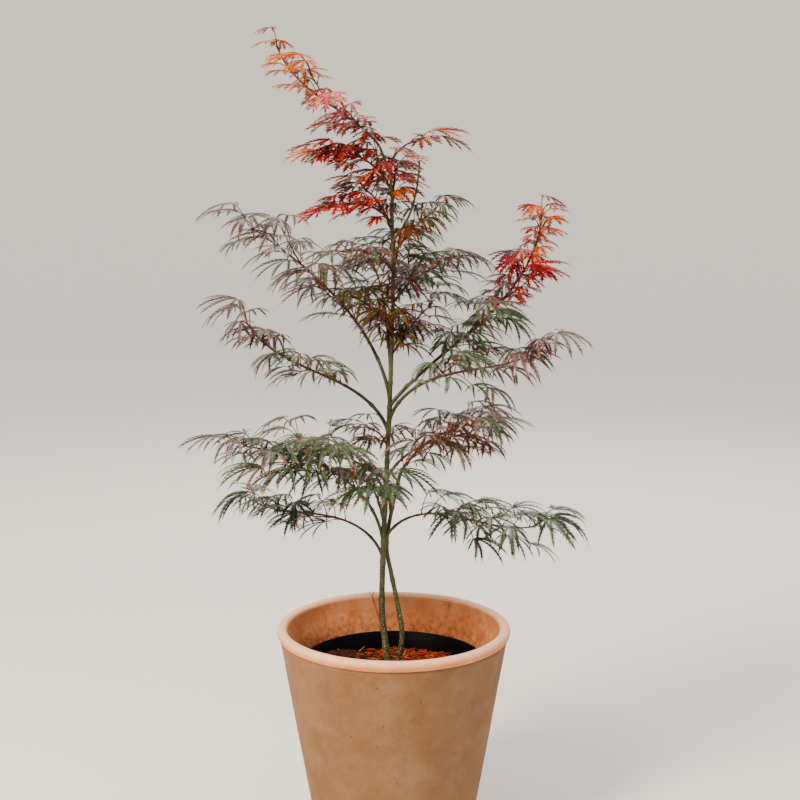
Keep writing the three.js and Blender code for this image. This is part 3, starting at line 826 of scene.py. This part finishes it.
def leaf_shell(leaf, start, pad):
    """The plain seven-pointed form of a leaf and its stalk, a little larger all round, to test for room."""
    forward, normal, size, droop = leaf["forward"], leaf["normal"], leaf["size"], leaf["droop"]
    side = normal.cross(forward)
    half = (LEAF_THICKNESS + pad) / 2

    def at(turn, distance, height):
        a = radians(turn)
        flat = forward * (cos(a) * distance) + side * (sin(a) * distance)
        return leaf["hub"] + flat + normal * height

    heel = STALK_WIDTH + pad / 2
    valleys = [at(-BACK_TURN, heel, 0)]
    for (turn, share), (next_turn, next_share) in zip(LOBES, LOBES[1:]):
        reach = VALLEY * size * min(share, next_share) + pad / 2
        valleys.append(at((turn + next_turn) / 2, reach, -reach * droop * 0.3))
    valleys.append(at(BACK_TURN, heel, 0))
    points = [at(0, 0, half), at(0, 0, -half), *valleys]
    faces = []
    for i, (turn, share) in enumerate(LOBES):
        length = size * share + pad
        points.append(at(turn, length * (1 - 0.3 * droop), -length * (0.1 + 0.55 * droop)))
        right, left, tip = 2 + i, 3 + i, len(points) - 1
        faces += [(1, tip, right), (1, left, tip), (0, right, tip), (0, tip, left)]
    back = start - leaf["hub"]
    ridge, right, left = 0, 2, 2 + len(LOBES)
    ends = [len(points) + k for k in range(3)]
    points += [points[k] + back for k in (ridge, right, left)]
    faces += [(ridge, left, ends[2]), (ridge, ends[2], ends[0])]
    faces += [(ridge, ends[0], ends[1]), (ridge, ends[1], right)]
    faces += [(right, ends[1], ends[2]), (right, ends[2], left)]
    return BVHTree.FromPolygons(points, faces)


def rod_shell(start, end, radius):
    """A plain three-sided rod, to test for room."""
    axis = (end - start).normalized()
    across = axis.orthogonal() * radius
    ring = [turned_round(across, axis, 120 * k) for k in range(3)]
    points = [start + r for r in ring] + [end + r for r in ring]
    return BVHTree.FromPolygons(points, list(ring_faces(0, 3)))


def add_place(places, seed, place, direction, sideways, size, share, twig=None):
    """Adds a place where a leaf may grow; its seed counts on from the one given."""
    keys = ("seed", "from", "direction", "sideways", "size", "share", "twig")
    places.append(dict(zip(keys, (seed + len(places), place, direction, sideways, size, share, twig))))


def growth(arm, points):
    """Every place on an arm where a leaf may grow: opposite pairs, each turned from the one before, short
    side twigs instead of a leaf here and there, and a fan at each tip."""
    draw = seeded(arm["seed"] * 7)
    leafy = arm["reach"] - arm["bare"]
    joints = max(1, floor(leafy / arm["every"] + 0.5) - 1)
    spacing = leafy / (joints + 0.35)
    twigs = []
    places = []

    def fan(place, direction, size, share, twig=None):
        for turn in TIP_FAN:
            sideways = turned_round(direction, UP, turn + draw(-10, 10))
            add_place(places, arm["seed"] * 41, place, direction, sideways, size, share, twig)

    for i in range(joints):
        distance = arm["bare"] + spacing * (i + 0.4)
        share = distance / arm["reach"]
        place, direction = along(points, distance)
        level = UP.cross(direction).normalized()
        sideways = turned_round(level, direction, (58 if i % 2 else 12) + draw(-16, 16))
        branching = copysign(1, draw(-1, 1)) if i % 2 == 0 and i < joints - 1 else 0
        size = between(arm["leaf"], i / joints)
        for way in (1, -1):
            outward = sideways * way
            if way != branching:
                add_place(places, arm["seed"] * 41, place, direction, outward, size, share)
                continue
            heads = (outward + direction * 0.9 + UP * 0.2).normalized()
            tip = place + heads * (size * draw(0.75, 1.05))
            twigs.append((place, tip))
            fan(tip, heads, size * 0.92, share, len(twigs) - 1)
    place, direction = along(points, arm["reach"] - 1)
    fan(place, direction, arm["leaf"][1], 1)
    return twigs, places


def finer_growth(arm, points, spurs):
    """The same rule carried on between the joints: smaller pairs on finer spurs, and along the side twigs."""
    draw = seeded(arm["seed"] * 23)
    places = []

    def pair(place, direction, size, share):
        level = UP.cross(direction).normalized()
        sideways = turned_round(level, direction, draw(-70, 70))
        for way in (1, -1):
            add_place(places, arm["seed"] * 173, place, direction, sideways * way, size, share)

    leafy = arm["reach"] - arm["bare"]
    count = max(1, floor(leafy / arm["every"] + 0.5)) * spurs
    for i in range(count):
        distance = arm["bare"] + leafy * (i + draw(0.35, 0.65)) / count
        place, direction = along(points, distance)
        size = between(arm["leaf"], i / count) * draw(0.72, 0.95)
        pair(place, direction, size, distance / arm["reach"])
    for start, tip in filter(None, arm["twigs"]):
        direction = (tip - start).normalized()
        share = min(1, max(0, (start - points[0]).length / arm["reach"]))
        pair(start.lerp(tip, draw(0.45, 0.7)), direction, arm["leaf"][1] * draw(0.66, 0.85), share)
    return places


def clears(shell, others):
    """Whether a shell stands clear of all the others."""
    return not any(shell.overlap(other) for other in others)


def grow_crown():
    """Grows every arm: its line, its side twigs, and the leaves that find room."""
    keys = ("name", "from", "facing", "reach", "rise", "bare", "thick", "every", "leaf")
    arms = [{**dict(zip(keys, row)), "seed": FIRST_SEED + i} for i, row in enumerate(ARMS)]
    stems = [
        rod_shell(curve[i], curve[i + STEM_ROD_STEPS], between(radii, i / CURVE_STEPS))
        for curve, radii in ((MAIN_CURVE, MAIN_RADII), (SECOND_CURVE, SECOND_RADII))
        for i in range(0, CURVE_STEPS, STEM_ROD_STEPS)
    ]
    for arm in arms:
        line = arm_line(arm)
        leafy_from = int(ARM_STEPS * arm["bare"] / arm["reach"])
        rods = [rod_shell(start, end, ARM_ROOM) for start, end in zip(line, line[1:])]
        stems += rods[:leafy_from]
        arm.update({"line": line, "room": rods[leafy_from:], "leaves": []})
    for arm in arms:
        strangers = stems + [shell for other in arms if other is not arm for shell in other["room"]]
        own = arm["room"]
        grown, places = growth(arm, arm["line"])
        twigs = [twig if clears(rod_shell(*twig, NEW_TWIG_ROOM), strangers) else None for twig in grown]
        arm["twigs"] = twigs
        own += [rod_shell(*twig, TWIG_ROOM) for twig in filter(None, twigs)]
        for place in places:
            if place["twig"] is not None and twigs[place["twig"]] is None:
                continue
            for attempt in range(TRIES):
                leaf = leaf_place(place, attempt)
                clear_from = leaf["hub"].lerp(leaf["from"], CLEAR_STALK)
                if not clears(leaf_shell(leaf, clear_from, CLEARANCE), own):
                    continue
                if not clears(leaf_shell(leaf, leaf["from"], CLEARANCE), strangers):
                    continue
                own.append(leaf_shell(leaf, clear_from, 0))
                arm["leaves"].append(leaf)
                break
    hubs = [leaf["hub"] for arm in arms for leaf in arm["leaves"]]
    for arm in arms:
        room, spurs = entry(FINER, arm["name"])
        for place in finer_growth(arm, arm["line"], spurs):
            for attempt in range(TRIES):
                leaf = leaf_place(place, attempt)
                if all((leaf["hub"] - hub).length > room for hub in hubs):
                    hubs.append(leaf["hub"])
                    arm["leaves"].append(leaf)
                    break
    return arms


# Leaves

def lobe_form(teeth, blade, tooth, lean, shoulder):
    """One lobe laid flat with its length as 1: the share along and across for each point, the faces, and how
    far out each face lies. Narrow at the heel, widest at the shoulder, its edge cut into teeth that lean
    towards the tip, and drawn out to a tail."""
    marks = np.linspace(0.05, 0.86, teeth + 1)
    swell = np.sin(np.pi * marks ** (log(0.5) / log(shoulder))) ** 0.7
    edge = 0.01 + blade * swell
    step = marks[1] - marks[0]
    ends = marks[:-1] + step * 0.72
    tips = marks[:-1] + step * lean
    reach = edge[:-1] + tooth * (swell[:-1] + swell[1:]) / 2
    rows = [(0, 0), *[(m, 0) for m in marks], (1, 0)]
    faces = []
    for way in (1, -1):
        near, end, point = [len(rows) + k for k in (0, teeth + 1, 2 * teeth + 1)]
        rows += [(m, way * e) for m, e in zip([*marks, *ends, *tips], [*edge, *edge[:-1], *reach])]
        for i in range(teeth):
            faces.append(((1 + i, 2 + i, near + i + 1, end + i, near + i)[::way], marks[i]))
            faces.append(((near + i, end + i, point + i)[::way], tips[i]))
        faces.append(((0, 1, near)[::way], 0))
        faces.append(((teeth + 1, teeth + 2, near + teeth)[::way], 1))
    return np.array(rows, float), faces


# Grown leaves arch out and curl down at the tips; the youngest are small, flat, glossy and broad-toothed
ARCHED = {
    "long": lobe_form(9, 0.019, 0.05, 1.5, 0.45),
    "short": lobe_form(5, 0.021, 0.056, 1.45, 0.5),
    "length": 1.0,
    "spread": (0.5, 1.0),
    "lift": 0.24,
    "fold": 0.5,
    "drop": 0.64,
    "curl": 2.5,
    "tip_from": 0.9,
}
YOUNG = {
    "long": lobe_form(5, 0.038, 0.105, 1.45, 0.52),
    "short": lobe_form(3, 0.042, 0.115, 1.4, 0.52),
    "length": 0.88,
    "spread": (0.5, 0.98),
    "lift": 0.14,
    "fold": 0.4,
    "drop": 0.38,
    "curl": 2.0,
    "tip_from": 0.86,
}


def add_leaf(leaf, make, bins, finishes):
    """Adds a leaf's lobes, each an arch that leaves the hub level and falls to its tip. The finishes are the
    numbers of the blade's, of the blade's other tone, which some lobes take, and of the tips'."""
    draw = seeded(leaf["seed"] * 17 + 5)
    blade, other, tip = finishes
    forward = np.array(leaf["forward"])
    normal = np.array(leaf["normal"])
    side = np.cross(normal, forward)
    spread = draw(*make["spread"])
    for turn, share in LOBES + BASAL_LOBES:
        rows, faces = make["short" if share < SHORT_LOBE else "long"]
        a = radians(turn * spread + draw(-8, 8))
        length = leaf["size"] * make["length"] * share * draw(0.86, 1.06)
        droop = leaf["droop"] * make["drop"] * draw(0.6, 1.3)
        sweep = draw(-0.14, 0.14)
        ahead = cos(a) * forward + sin(a) * side
        across = cos(a) * side - sin(a) * forward
        t, w = rows[:, :1], rows[:, 1:]
        out = length * (t - 0.3 * droop * t**2)
        aside = length * (w * draw(0.85, 1.15) + sweep * t**2)
        fall = (0.08 + 0.55 * droop) * t ** make["curl"]
        rise = length * (make["lift"] * t * (1 - t) - fall + make["fold"] * np.abs(w))
        points = np.array(leaf["hub"]) + out * ahead + aside * across + rise * normal
        first = bins["count"]
        bins["points"].append(points)
        bins["count"] += len(points)
        main = other if draw(0, 1) < OTHER_SHARE else blade
        for corners, where in faces:
            bins["faces"].append(tuple(first + c for c in corners))
            bins["kinds"].append(tip if where > make["tip_from"] else main)


def stalk_path(leaf):
    """A leaf's stalk: it leaves the twig steeply and bends over into the blade."""
    foot, hub = Vector(leaf["from"]), Vector(leaf["hub"])
    span = (hub - foot).length
    knee = foot.lerp(hub, 0.55) + UP * span * 0.16 - leaf["forward"] * span * 0.08
    path = []
    for i in range(STALK_STEPS + 1):
        t = i / STALK_STEPS
        place = foot * (1 - t) ** 2 + knee * 2 * t * (1 - t) + hub * t**2
        flare = 1 + 0.7 * max(0, 1 - t * 6) + 0.25 * max(0, t * 6 - 5)
        path.append((place, STALK_RADIUS * flare))
    return path


def spray_of(arm, share):
    """The spray that an arm deals out that share of the way to its tip."""
    return next(name for name, until in entry(DEALT, arm["name"]).items() if share <= until + 1e-6)


def tier_of(arm, spray):
    """Which joined piece a leaf goes into: the red tuft, an arm with a piece of its own, or its kind."""
    if arm["name"] == "fork_right_high" and spray in YOUNG_SPRAYS:
        return "tuft"
    return arm["name"] if arm["name"] in SLOTS else kind_of(arm["name"])


def make_leaves(arms):
    """Leaves joined by tier, each leaf dealt its colours from its spray, and all their stalks."""
    tiers = {}
    stalks = {"red": [], "amber": []}
    for arm in arms:
        for leaf in arm["leaves"]:
            draw = seeded(leaf["seed"] * 29 + 3)
            spray = spray_of(arm, leaf["share"])
            bins = tiers.setdefault(tier_of(arm, spray), {"points": [], "faces": [], "kinds": [], "count": 0})
            deal = SPRAYS[spray]
            dealt = deal[int(draw(0, len(deal) - 0.001))].split()
            finishes = [BLADE_ORDER.index(name) for name in dealt]
            add_leaf(leaf, YOUNG if spray in YOUNG_SPRAYS else ARCHED, bins, finishes)
            tint = "amber" if draw(0, 1) < AMBER_SHARE else "red"
            stalks[tint].append(stalk_path(leaf))
    for tier, bins in tiers.items():
        points = np.concatenate(bins["points"])
        piece = mesh_piece("leaves_" + tier, points, bins["faces"], list(BLADES.values()), bins["kinds"])
        nodes = ["foliage_" + arm["name"] for arm in arms if tier_of(arm, "") == tier]
        finish_piece(piece, entry(SLOTS, tier), *nodes)
    for tint, material in (("red", STALK_RED), ("amber", STALK_AMBER)):
        limbs("leaf_stalks_" + tint, "young_bark", stalks[tint], material, 5, 5, (0, 6))


# Camera, floor and light

CAMERA_PLACE = (7.6, -1923.7, 889.3)
CAMERA_DIP = 10.31
CAMERA_LENS = 50
CAMERA_SENSOR = 24
SWEEP_FLOOR = 4000
SWEEP_COVE = 2200
SWEEP_HEIGHT = 2600
SWEEP_SIDES = 64
LAMP_AIM = (0, 0, 500)
# Each lamp's name, place, width, power in watts and tint
LAMPS = [
    ("key_lamp", (-1500, -1500, 2200), 900, 142, "ffead2"),
    ("fill_lamp", (1900, -1500, 1300), 1800, 4, "eaf2ff"),
    ("rim_lamp", (600, 1800, 2000), 1400, 26, "fff8ee"),
]


def set_camera():
    """A 50 mm lens at standing height, two metres back, tipped a little down."""
    data = bpy.data.cameras.new("camera")
    data.lens = CAMERA_LENS
    data.sensor_width = CAMERA_SENSOR
    camera = link_object("camera", data)
    camera.location = Vector(CAMERA_PLACE) * MM
    camera.rotation_euler = (radians(90 - CAMERA_DIP), 0, 0)
    bpy.context.scene.camera = camera


def set_studio():
    """A plain pale sweep, floor and wall in one, under a warm soft lamp from the front left, with a faint
    cool one from the right, one from behind, and pale air all round."""
    plain, _ = new_material("studio_sweep_matt", Roughness=0.95, Base_Color=colour("f6f4f0"))
    bends = np.linspace(0, pi / 2, 13)
    outline = [(SWEEP_FLOOR + SWEEP_COVE * sin(a), SWEEP_COVE * (1 - cos(a))) for a in bends]
    outline.append((SWEEP_FLOOR + SWEEP_COVE, SWEEP_HEIGHT))
    turns = np.arange(SWEEP_SIDES) * 2 * pi / SWEEP_SIDES
    points = [(r * cos(a), r * sin(a), z) for r, z in outline for a in turns]
    faces = [tuple(range(SWEEP_SIDES))]
    for row in range(len(outline) - 1):
        faces += [(a, d, c, b) for a, b, c, d in ring_faces(row * SWEEP_SIDES, SWEEP_SIDES)]
    mesh_piece("studio_sweep", points, faces, [plain])
    for name, place, size, power, tint in LAMPS:
        data = bpy.data.lights.new(name, "AREA")
        data.size = size * MM
        data.energy = power
        data.color = colour(tint)[:3]
        lamp = link_object(name, data)
        lamp.location = Vector(place) * MM
        aim = Vector(LAMP_AIM) * MM - lamp.location
        lamp.rotation_euler = aim.to_track_quat("-Z", "Y").to_euler()
    world = bpy.data.worlds.new("studio_air")
    world.use_nodes = True
    air = world.node_tree.nodes["Background"]
    air.inputs["Color"].default_value = colour("f7f5f1")
    air.inputs["Strength"].default_value = 0.95
    bpy.context.scene.world = world


# Pot and planter

def planter_outline():
    """The planter's section, up the outside, over the lip and down the inside, and each row's zone."""
    body_top = PLANTER_HEIGHT - LIP_HEIGHT
    slope = (BODY_TOP_RADIUS - BASE_RADIUS) / body_top
    outside = [(BASE_RADIUS - inwards, z) for inwards, z in FOOT_EDGE]
    outside += [(BASE_RADIUS + slope * z, z) for z in np.linspace(4, body_top - 1, OUTSIDE_ROWS)]
    half, tall = LIP_WIDTH / 2, LIP_HEIGHT / 2
    lip = []
    for degrees in LIP_TURNS:
        c, s = cos(radians(degrees)), sin(radians(degrees))
        r = RIM_RADIUS - half + half * copysign(abs(c) ** LIP_SQUARENESS, c)
        z = PLANTER_HEIGHT - tall + tall * copysign(abs(s) ** LIP_SQUARENESS, s)
        lip.append((r, z))
    inside = []
    throat = body_top + 3
    for z in np.linspace(throat, FLOOR + 6, INSIDE_ROWS):
        wall = BASE_RADIUS + slope * z - WALL
        ease = min(1, (throat - z) / THROAT_DEPTH)
        below = PLANTER_HEIGHT - z
        ring = sum(exp(-(((below - depth) / THROAT_RING_WIDTH) ** 2)) for depth in THROAT_RINGS)
        plain = between((RIM_RADIUS - LIP_WIDTH, wall), ease * ease * (3 - 2 * ease))
        inside.append((plain - THROAT_RING_DEPTH * ring, z))
    corner = BASE_RADIUS + slope * FLOOR - WALL
    inside += [(corner - inwards, FLOOR + z) for inwards, z in FLOOR_EDGE] + [(corner / 2, FLOOR)]
    outline = [(0, 0), (BASE_RADIUS / 2, 0), *outside, *lip, *inside, (0, FLOOR)]
    lip_from = 2 + len(outside)
    inside_rows = len(outline) - 1 - lip_from - LIP_ROWS
    return outline, [OUTSIDE] * lip_from + [LIP] * LIP_ROWS + [INSIDE] * inside_rows


def make_planter():
    outline, zones = planter_outline()
    blank = turned("planter_blank", outline, PLANTER_SIDES, [], zones)
    marks = {"Ring depth": 0.5 * MM, "Ring spacing": 7 * MM, "Wander": 1.6 * MM, "Wander size": 120 * MM}
    planter = run_geometry_nodes(blank, hand_marks_tree(), {**marks, **CLAY_ZONES}, "clay_planter")
    finish_piece(planter, "clay", "planter")


def pot_radius(z):
    """The outside of the grower's pot at that height, below its band."""
    lower = POT_RIM_RADIUS - POT_LIP - POT_BASE_RADIUS
    return POT_BASE_RADIUS + lower * (z - POT_FOOT_Z) / (POT_RIM_Z - POT_FOOT_Z)


def make_growers_pot():
    band_z = POT_RIM_Z - POT_BAND
    floor_z = POT_FOOT_Z + POT_WALL
    outside = [(pot_radius(z), z) for z in np.linspace(POT_FOOT_Z + 1.5, band_z - 1, 12)]
    lip = [(POT_RIM_RADIUS - inwards, POT_RIM_Z - below) for inwards, below in POT_EDGE]
    inside = [(pot_radius(z) - POT_WALL, z) for z in np.linspace(band_z, floor_z + 1, 12)]
    outline = [(0, POT_FOOT_Z), (POT_BASE_RADIUS - 1.5, POT_FOOT_Z), *outside, *lip, *inside]
    outline += [(POT_BASE_RADIUS - POT_WALL - 2, floor_z), (0, floor_z)]
    finish_piece(turned("nursery_pot", outline, POT_SIDES, [POT_BLACK]), "plastic", "growers_pot")


# Each kind of shred: its name; its length, width, thickness and bend; how many to a square metre, their share
# at the left and at the right, and their least and most size; how far it may tip; and its finish
SHREDS = [
    ("shreds_damp", (15, 3.0, 0.9, 0.10), (52000, 1.0, 0.7, 0.5, 1.2), 0.42, MULCH_DARK),
    ("shreds_red", (14, 2.6, 0.9, 0.16), (42000, 0.1, 1.0, 0.5, 1.25), 0.5, MULCH_RED),
    ("shreds_fresh", (17, 2.8, 1.0, 0.22), (28000, 0.0, 1.2, 0.5, 1.35), 0.7, MULCH_BRIGHT),
    ("slivers_pale", (22, 1.3, 0.8, 0.12), (2400, 0.5, 1.2, 0.5, 1.0), 0.9, MULCH_STRAW),
]
SHRED_STEPS = 4


def bed_height(x, y):
    """How high the mulch lies: heaped round the stems and against the pot's left side, hollowed elsewhere."""
    r, a = hypot(x, y), atan2(y, x)
    heap = sum(high * exp(-((x - u) ** 2 + (y - v) ** 2) / wide**2) for high, u, v, wide in HEAPS)
    swell = BED_SWELL * sin(3 * a + r / 16) * cos(5 * a - r / 9) * min(1, r / 40)
    return SOIL_Z + heap + swell - BED_EDGE_DROP * max(0, (r - BED_EDGE) / BED_EDGE_WIDTH) ** 2


def shred_shape(name, length, width, thick, bend):
    """A torn sliver: a bent and twisted strip, thick enough to catch the light on its edge."""
    points = []
    for i in range(SHRED_STEPS + 1):
        t = i / SHRED_STEPS
        half = width / 2 * (0.35 + 0.65 * sin(pi * min(1, t + 0.18)))
        x, z = length * (t - 0.5), bend * length * (4 * t * (1 - t) - 0.6)
        twist = (t - 0.5) * 0.9
        for side, top in ((1, 1), (-1, 1), (-1, -1), (1, -1)):
            y, rise = side * half, top * thick / 2
            points.append((x, y * cos(twist) - rise * sin(twist), z + y * sin(twist) + rise))
    faces = [(3, 2, 1, 0), tuple(SHRED_STEPS * 4 + k for k in range(4))]
    for i in range(SHRED_STEPS):
        faces += ring_faces(i * 4, 4)
    return mesh_piece(name, points, faces, [], smooth=False)


def bed_radius(z):
    """The compost's radius at that height, a little clear of the pot."""
    return pot_radius(z) - POT_WALL - BED_ROOM


def make_mulch():
    """Damp compost heaped in the pot, and four kinds of shreds over it, redder and brighter to the right."""
    foot = POT_FOOT_Z + POT_WALL + GAP
    outline = [(0, foot), (bed_radius(foot) - 1, foot)]
    outline += [(bed_radius(z), z) for z in np.linspace(foot + 1, SOIL_Z - 6, 6)]
    outline += [(r, SOIL_Z) for r in np.linspace(bed_radius(SOIL_Z), 4, 24)] + [(0, SOIL_Z)]
    bed = turned("mulch_bed", outline, POT_SIDES, [COMPOST])
    for vertex in bed.data.vertices:
        x, y, z = vertex.co / MM
        if z > SOIL_Z - 0.5:
            vertex.co.z = bed_height(x, y) * MM
    bed.data.update()
    tree = strewn_tree()
    for i, (name, shape, spread, tilt, material) in enumerate(SHREDS):
        shred = shred_shape(name + "_shape", *shape)
        values = dict(zip(("Density", "Left share", "Right share", "Smallest", "Largest"), spread))
        values.update({"Shred": shred, "Material": material, "Half width": BED_HALF_WIDTH * MM})
        values.update({"Tilt": tilt, "Seed": 4 + 7 * i})
        finish_piece(run_geometry_nodes(bed, tree, values, name, keep_source=True), "mulch")
        bpy.data.objects.remove(shred)
    finish_piece(bed, "mulch", "mulch_and_compost")


# Stems, boughs and twigs

def swollen(path, joints, rise=0.22, spread=2.6):
    """The path with its radius swollen at each joint, given by distance along it."""
    made = []
    run = 0
    for i, (place, radius) in enumerate(path):
        run += (Vector(place) - Vector(path[i - 1][0])).length if i else 0
        bulge = sum(exp(-(((run - joint) / spread) ** 2)) for joint in joints)
        made.append((place, radius * (1 + rise * bulge)))
    return made


def stem_path(curve, radii, length):
    """A stem's curve with its radius, which flares towards the foot."""
    path = []
    for i in range(0, CURVE_STEPS + 1, 2):
        t = i / CURVE_STEPS
        flare = 1 + (FOOT_FLARE - 1) * max(0, 1 - t * length / FLARE_HEIGHT) ** 2
        path.append((curve[i], between(radii, t) * flare))
    return path


def line_path(points, radii):
    last = len(points) - 1
    return [(point, between(radii, i / last)) for i, point in enumerate(points)]


def make_stems():
    """Both stems, the dead twig with its collar, and the pruned spur with a bud at each joint."""
    main = swollen(stem_path(MAIN_CURVE, MAIN_RADII, MAIN_LENGTH), MAIN_JOINTS)
    limbs("bark_stem_main", "bark", [main], BARK_OLD, 1.6, 24, (0.7, 5), "stem_main")
    second = swollen(stem_path(SECOND_CURVE, SECOND_RADII, SECOND_LENGTH), SECOND_JOINTS)
    limbs("bark_stem_second", "bark", [second], BARK_OLD, 1.6, 20, (0.6, 5), "stem_second")

    twig = arm_line(DEAD_TWIG)
    foot, tip = twig[0], twig[-1]
    paths = [line_path(twig, DEAD_TWIG["radii"])]
    for facing, rise in PRONGS:
        prong = [(tip + heading(facing, rise + more) * reach, radius) for reach, more, radius in PRONG_FORM]
        paths.append(prong)
    limbs("dead_twig", "bark", paths, BARK_DEAD, 1.5, 10, (0.5, 3))
    collar = [(foot + UP * z, radius) for z, radius in COLLAR]
    limbs("branch_collar", "bark", [collar], BARK_OLD, 1, 16, (0.9, 3))

    spur = arm_line(PRUNED_SPUR)
    paths = [swollen(line_path(spur, PRUNED_SPUR["radii"]), SPUR_BUDS, rise=0.45, spread=1.6)]
    for i, distance in enumerate(SPUR_BUDS):
        place, direction = along(spur, distance)
        out = (direction + heading(180 * i + 20, 0) * 0.9).normalized()
        paths.append([(place + out * reach, radius) for reach, radius in BUD_FORM])
    limbs("bark_pruned_spur", "bark", paths, BARK_GREEN, 1.5, 12, (0.3, 3), "bough_pruned_spur")


def make_limbs(arms):
    """Boughs, green near the stem, and the leafy twigs that carry on from them to the tips."""
    green, boughs, shoots = [], [], []
    count = 3 * ARM_STEPS
    for arm in arms:
        line, reach, bare = arm["line"], arm["reach"], arm["bare"]
        leafy_root = arm["thick"] * (BOUGH_TAPER if bare else 1)
        whole = []
        for i in range(count + 1):
            distance = reach * i / count
            place, _ = along(line, min(distance, reach - 0.01))
            if distance < bare:
                radius = between((arm["thick"], leafy_root), distance / bare)
            else:
                radius = between((leafy_root, SHOOT_TIP_RADIUS), (distance - bare) / (reach - bare))
            whole.append((place, radius))
        split = round(count * bare / reach)
        if split:
            bough = swollen(whole[: split + 1], [0, bare * 0.5], rise=0.3, spread=2.4)
            middle = round(split / 2)
            green.append(bough[: middle + 1])
            boughs.append(bough[middle:])
        knots = [reach * k / 9 for k in range(9)]
        shoots.append(swollen(whole[split:], knots, rise=0.35, spread=1.5))
        for start, tip in filter(None, arm["twigs"]):
            shoots.append([(start, 1.0), (start.lerp(tip, 0.5) - UP * 1.2, 0.85), (tip, 0.7)])
    bough_nodes = ["bough_" + arm["name"] for arm in arms if arm["bare"]]
    limbs("bark_boughs_green", "bark", green, BARK_GREEN, 1.8, 14, (0.4, 4))
    limbs("bark_boughs", "young_bark", boughs, BARK_YOUNG, 1.8, 14, (0.4, 4), *bough_nodes)
    limbs("bark_twigs", "young_bark", shoots, BARK_SHOOT, 2.2, 8, (0.25, 3))


set_camera()
set_studio()
make_planter()
make_growers_pot()
make_mulch()
make_stems()
crown = grow_crown()
make_limbs(crown)
make_leaves(crown)
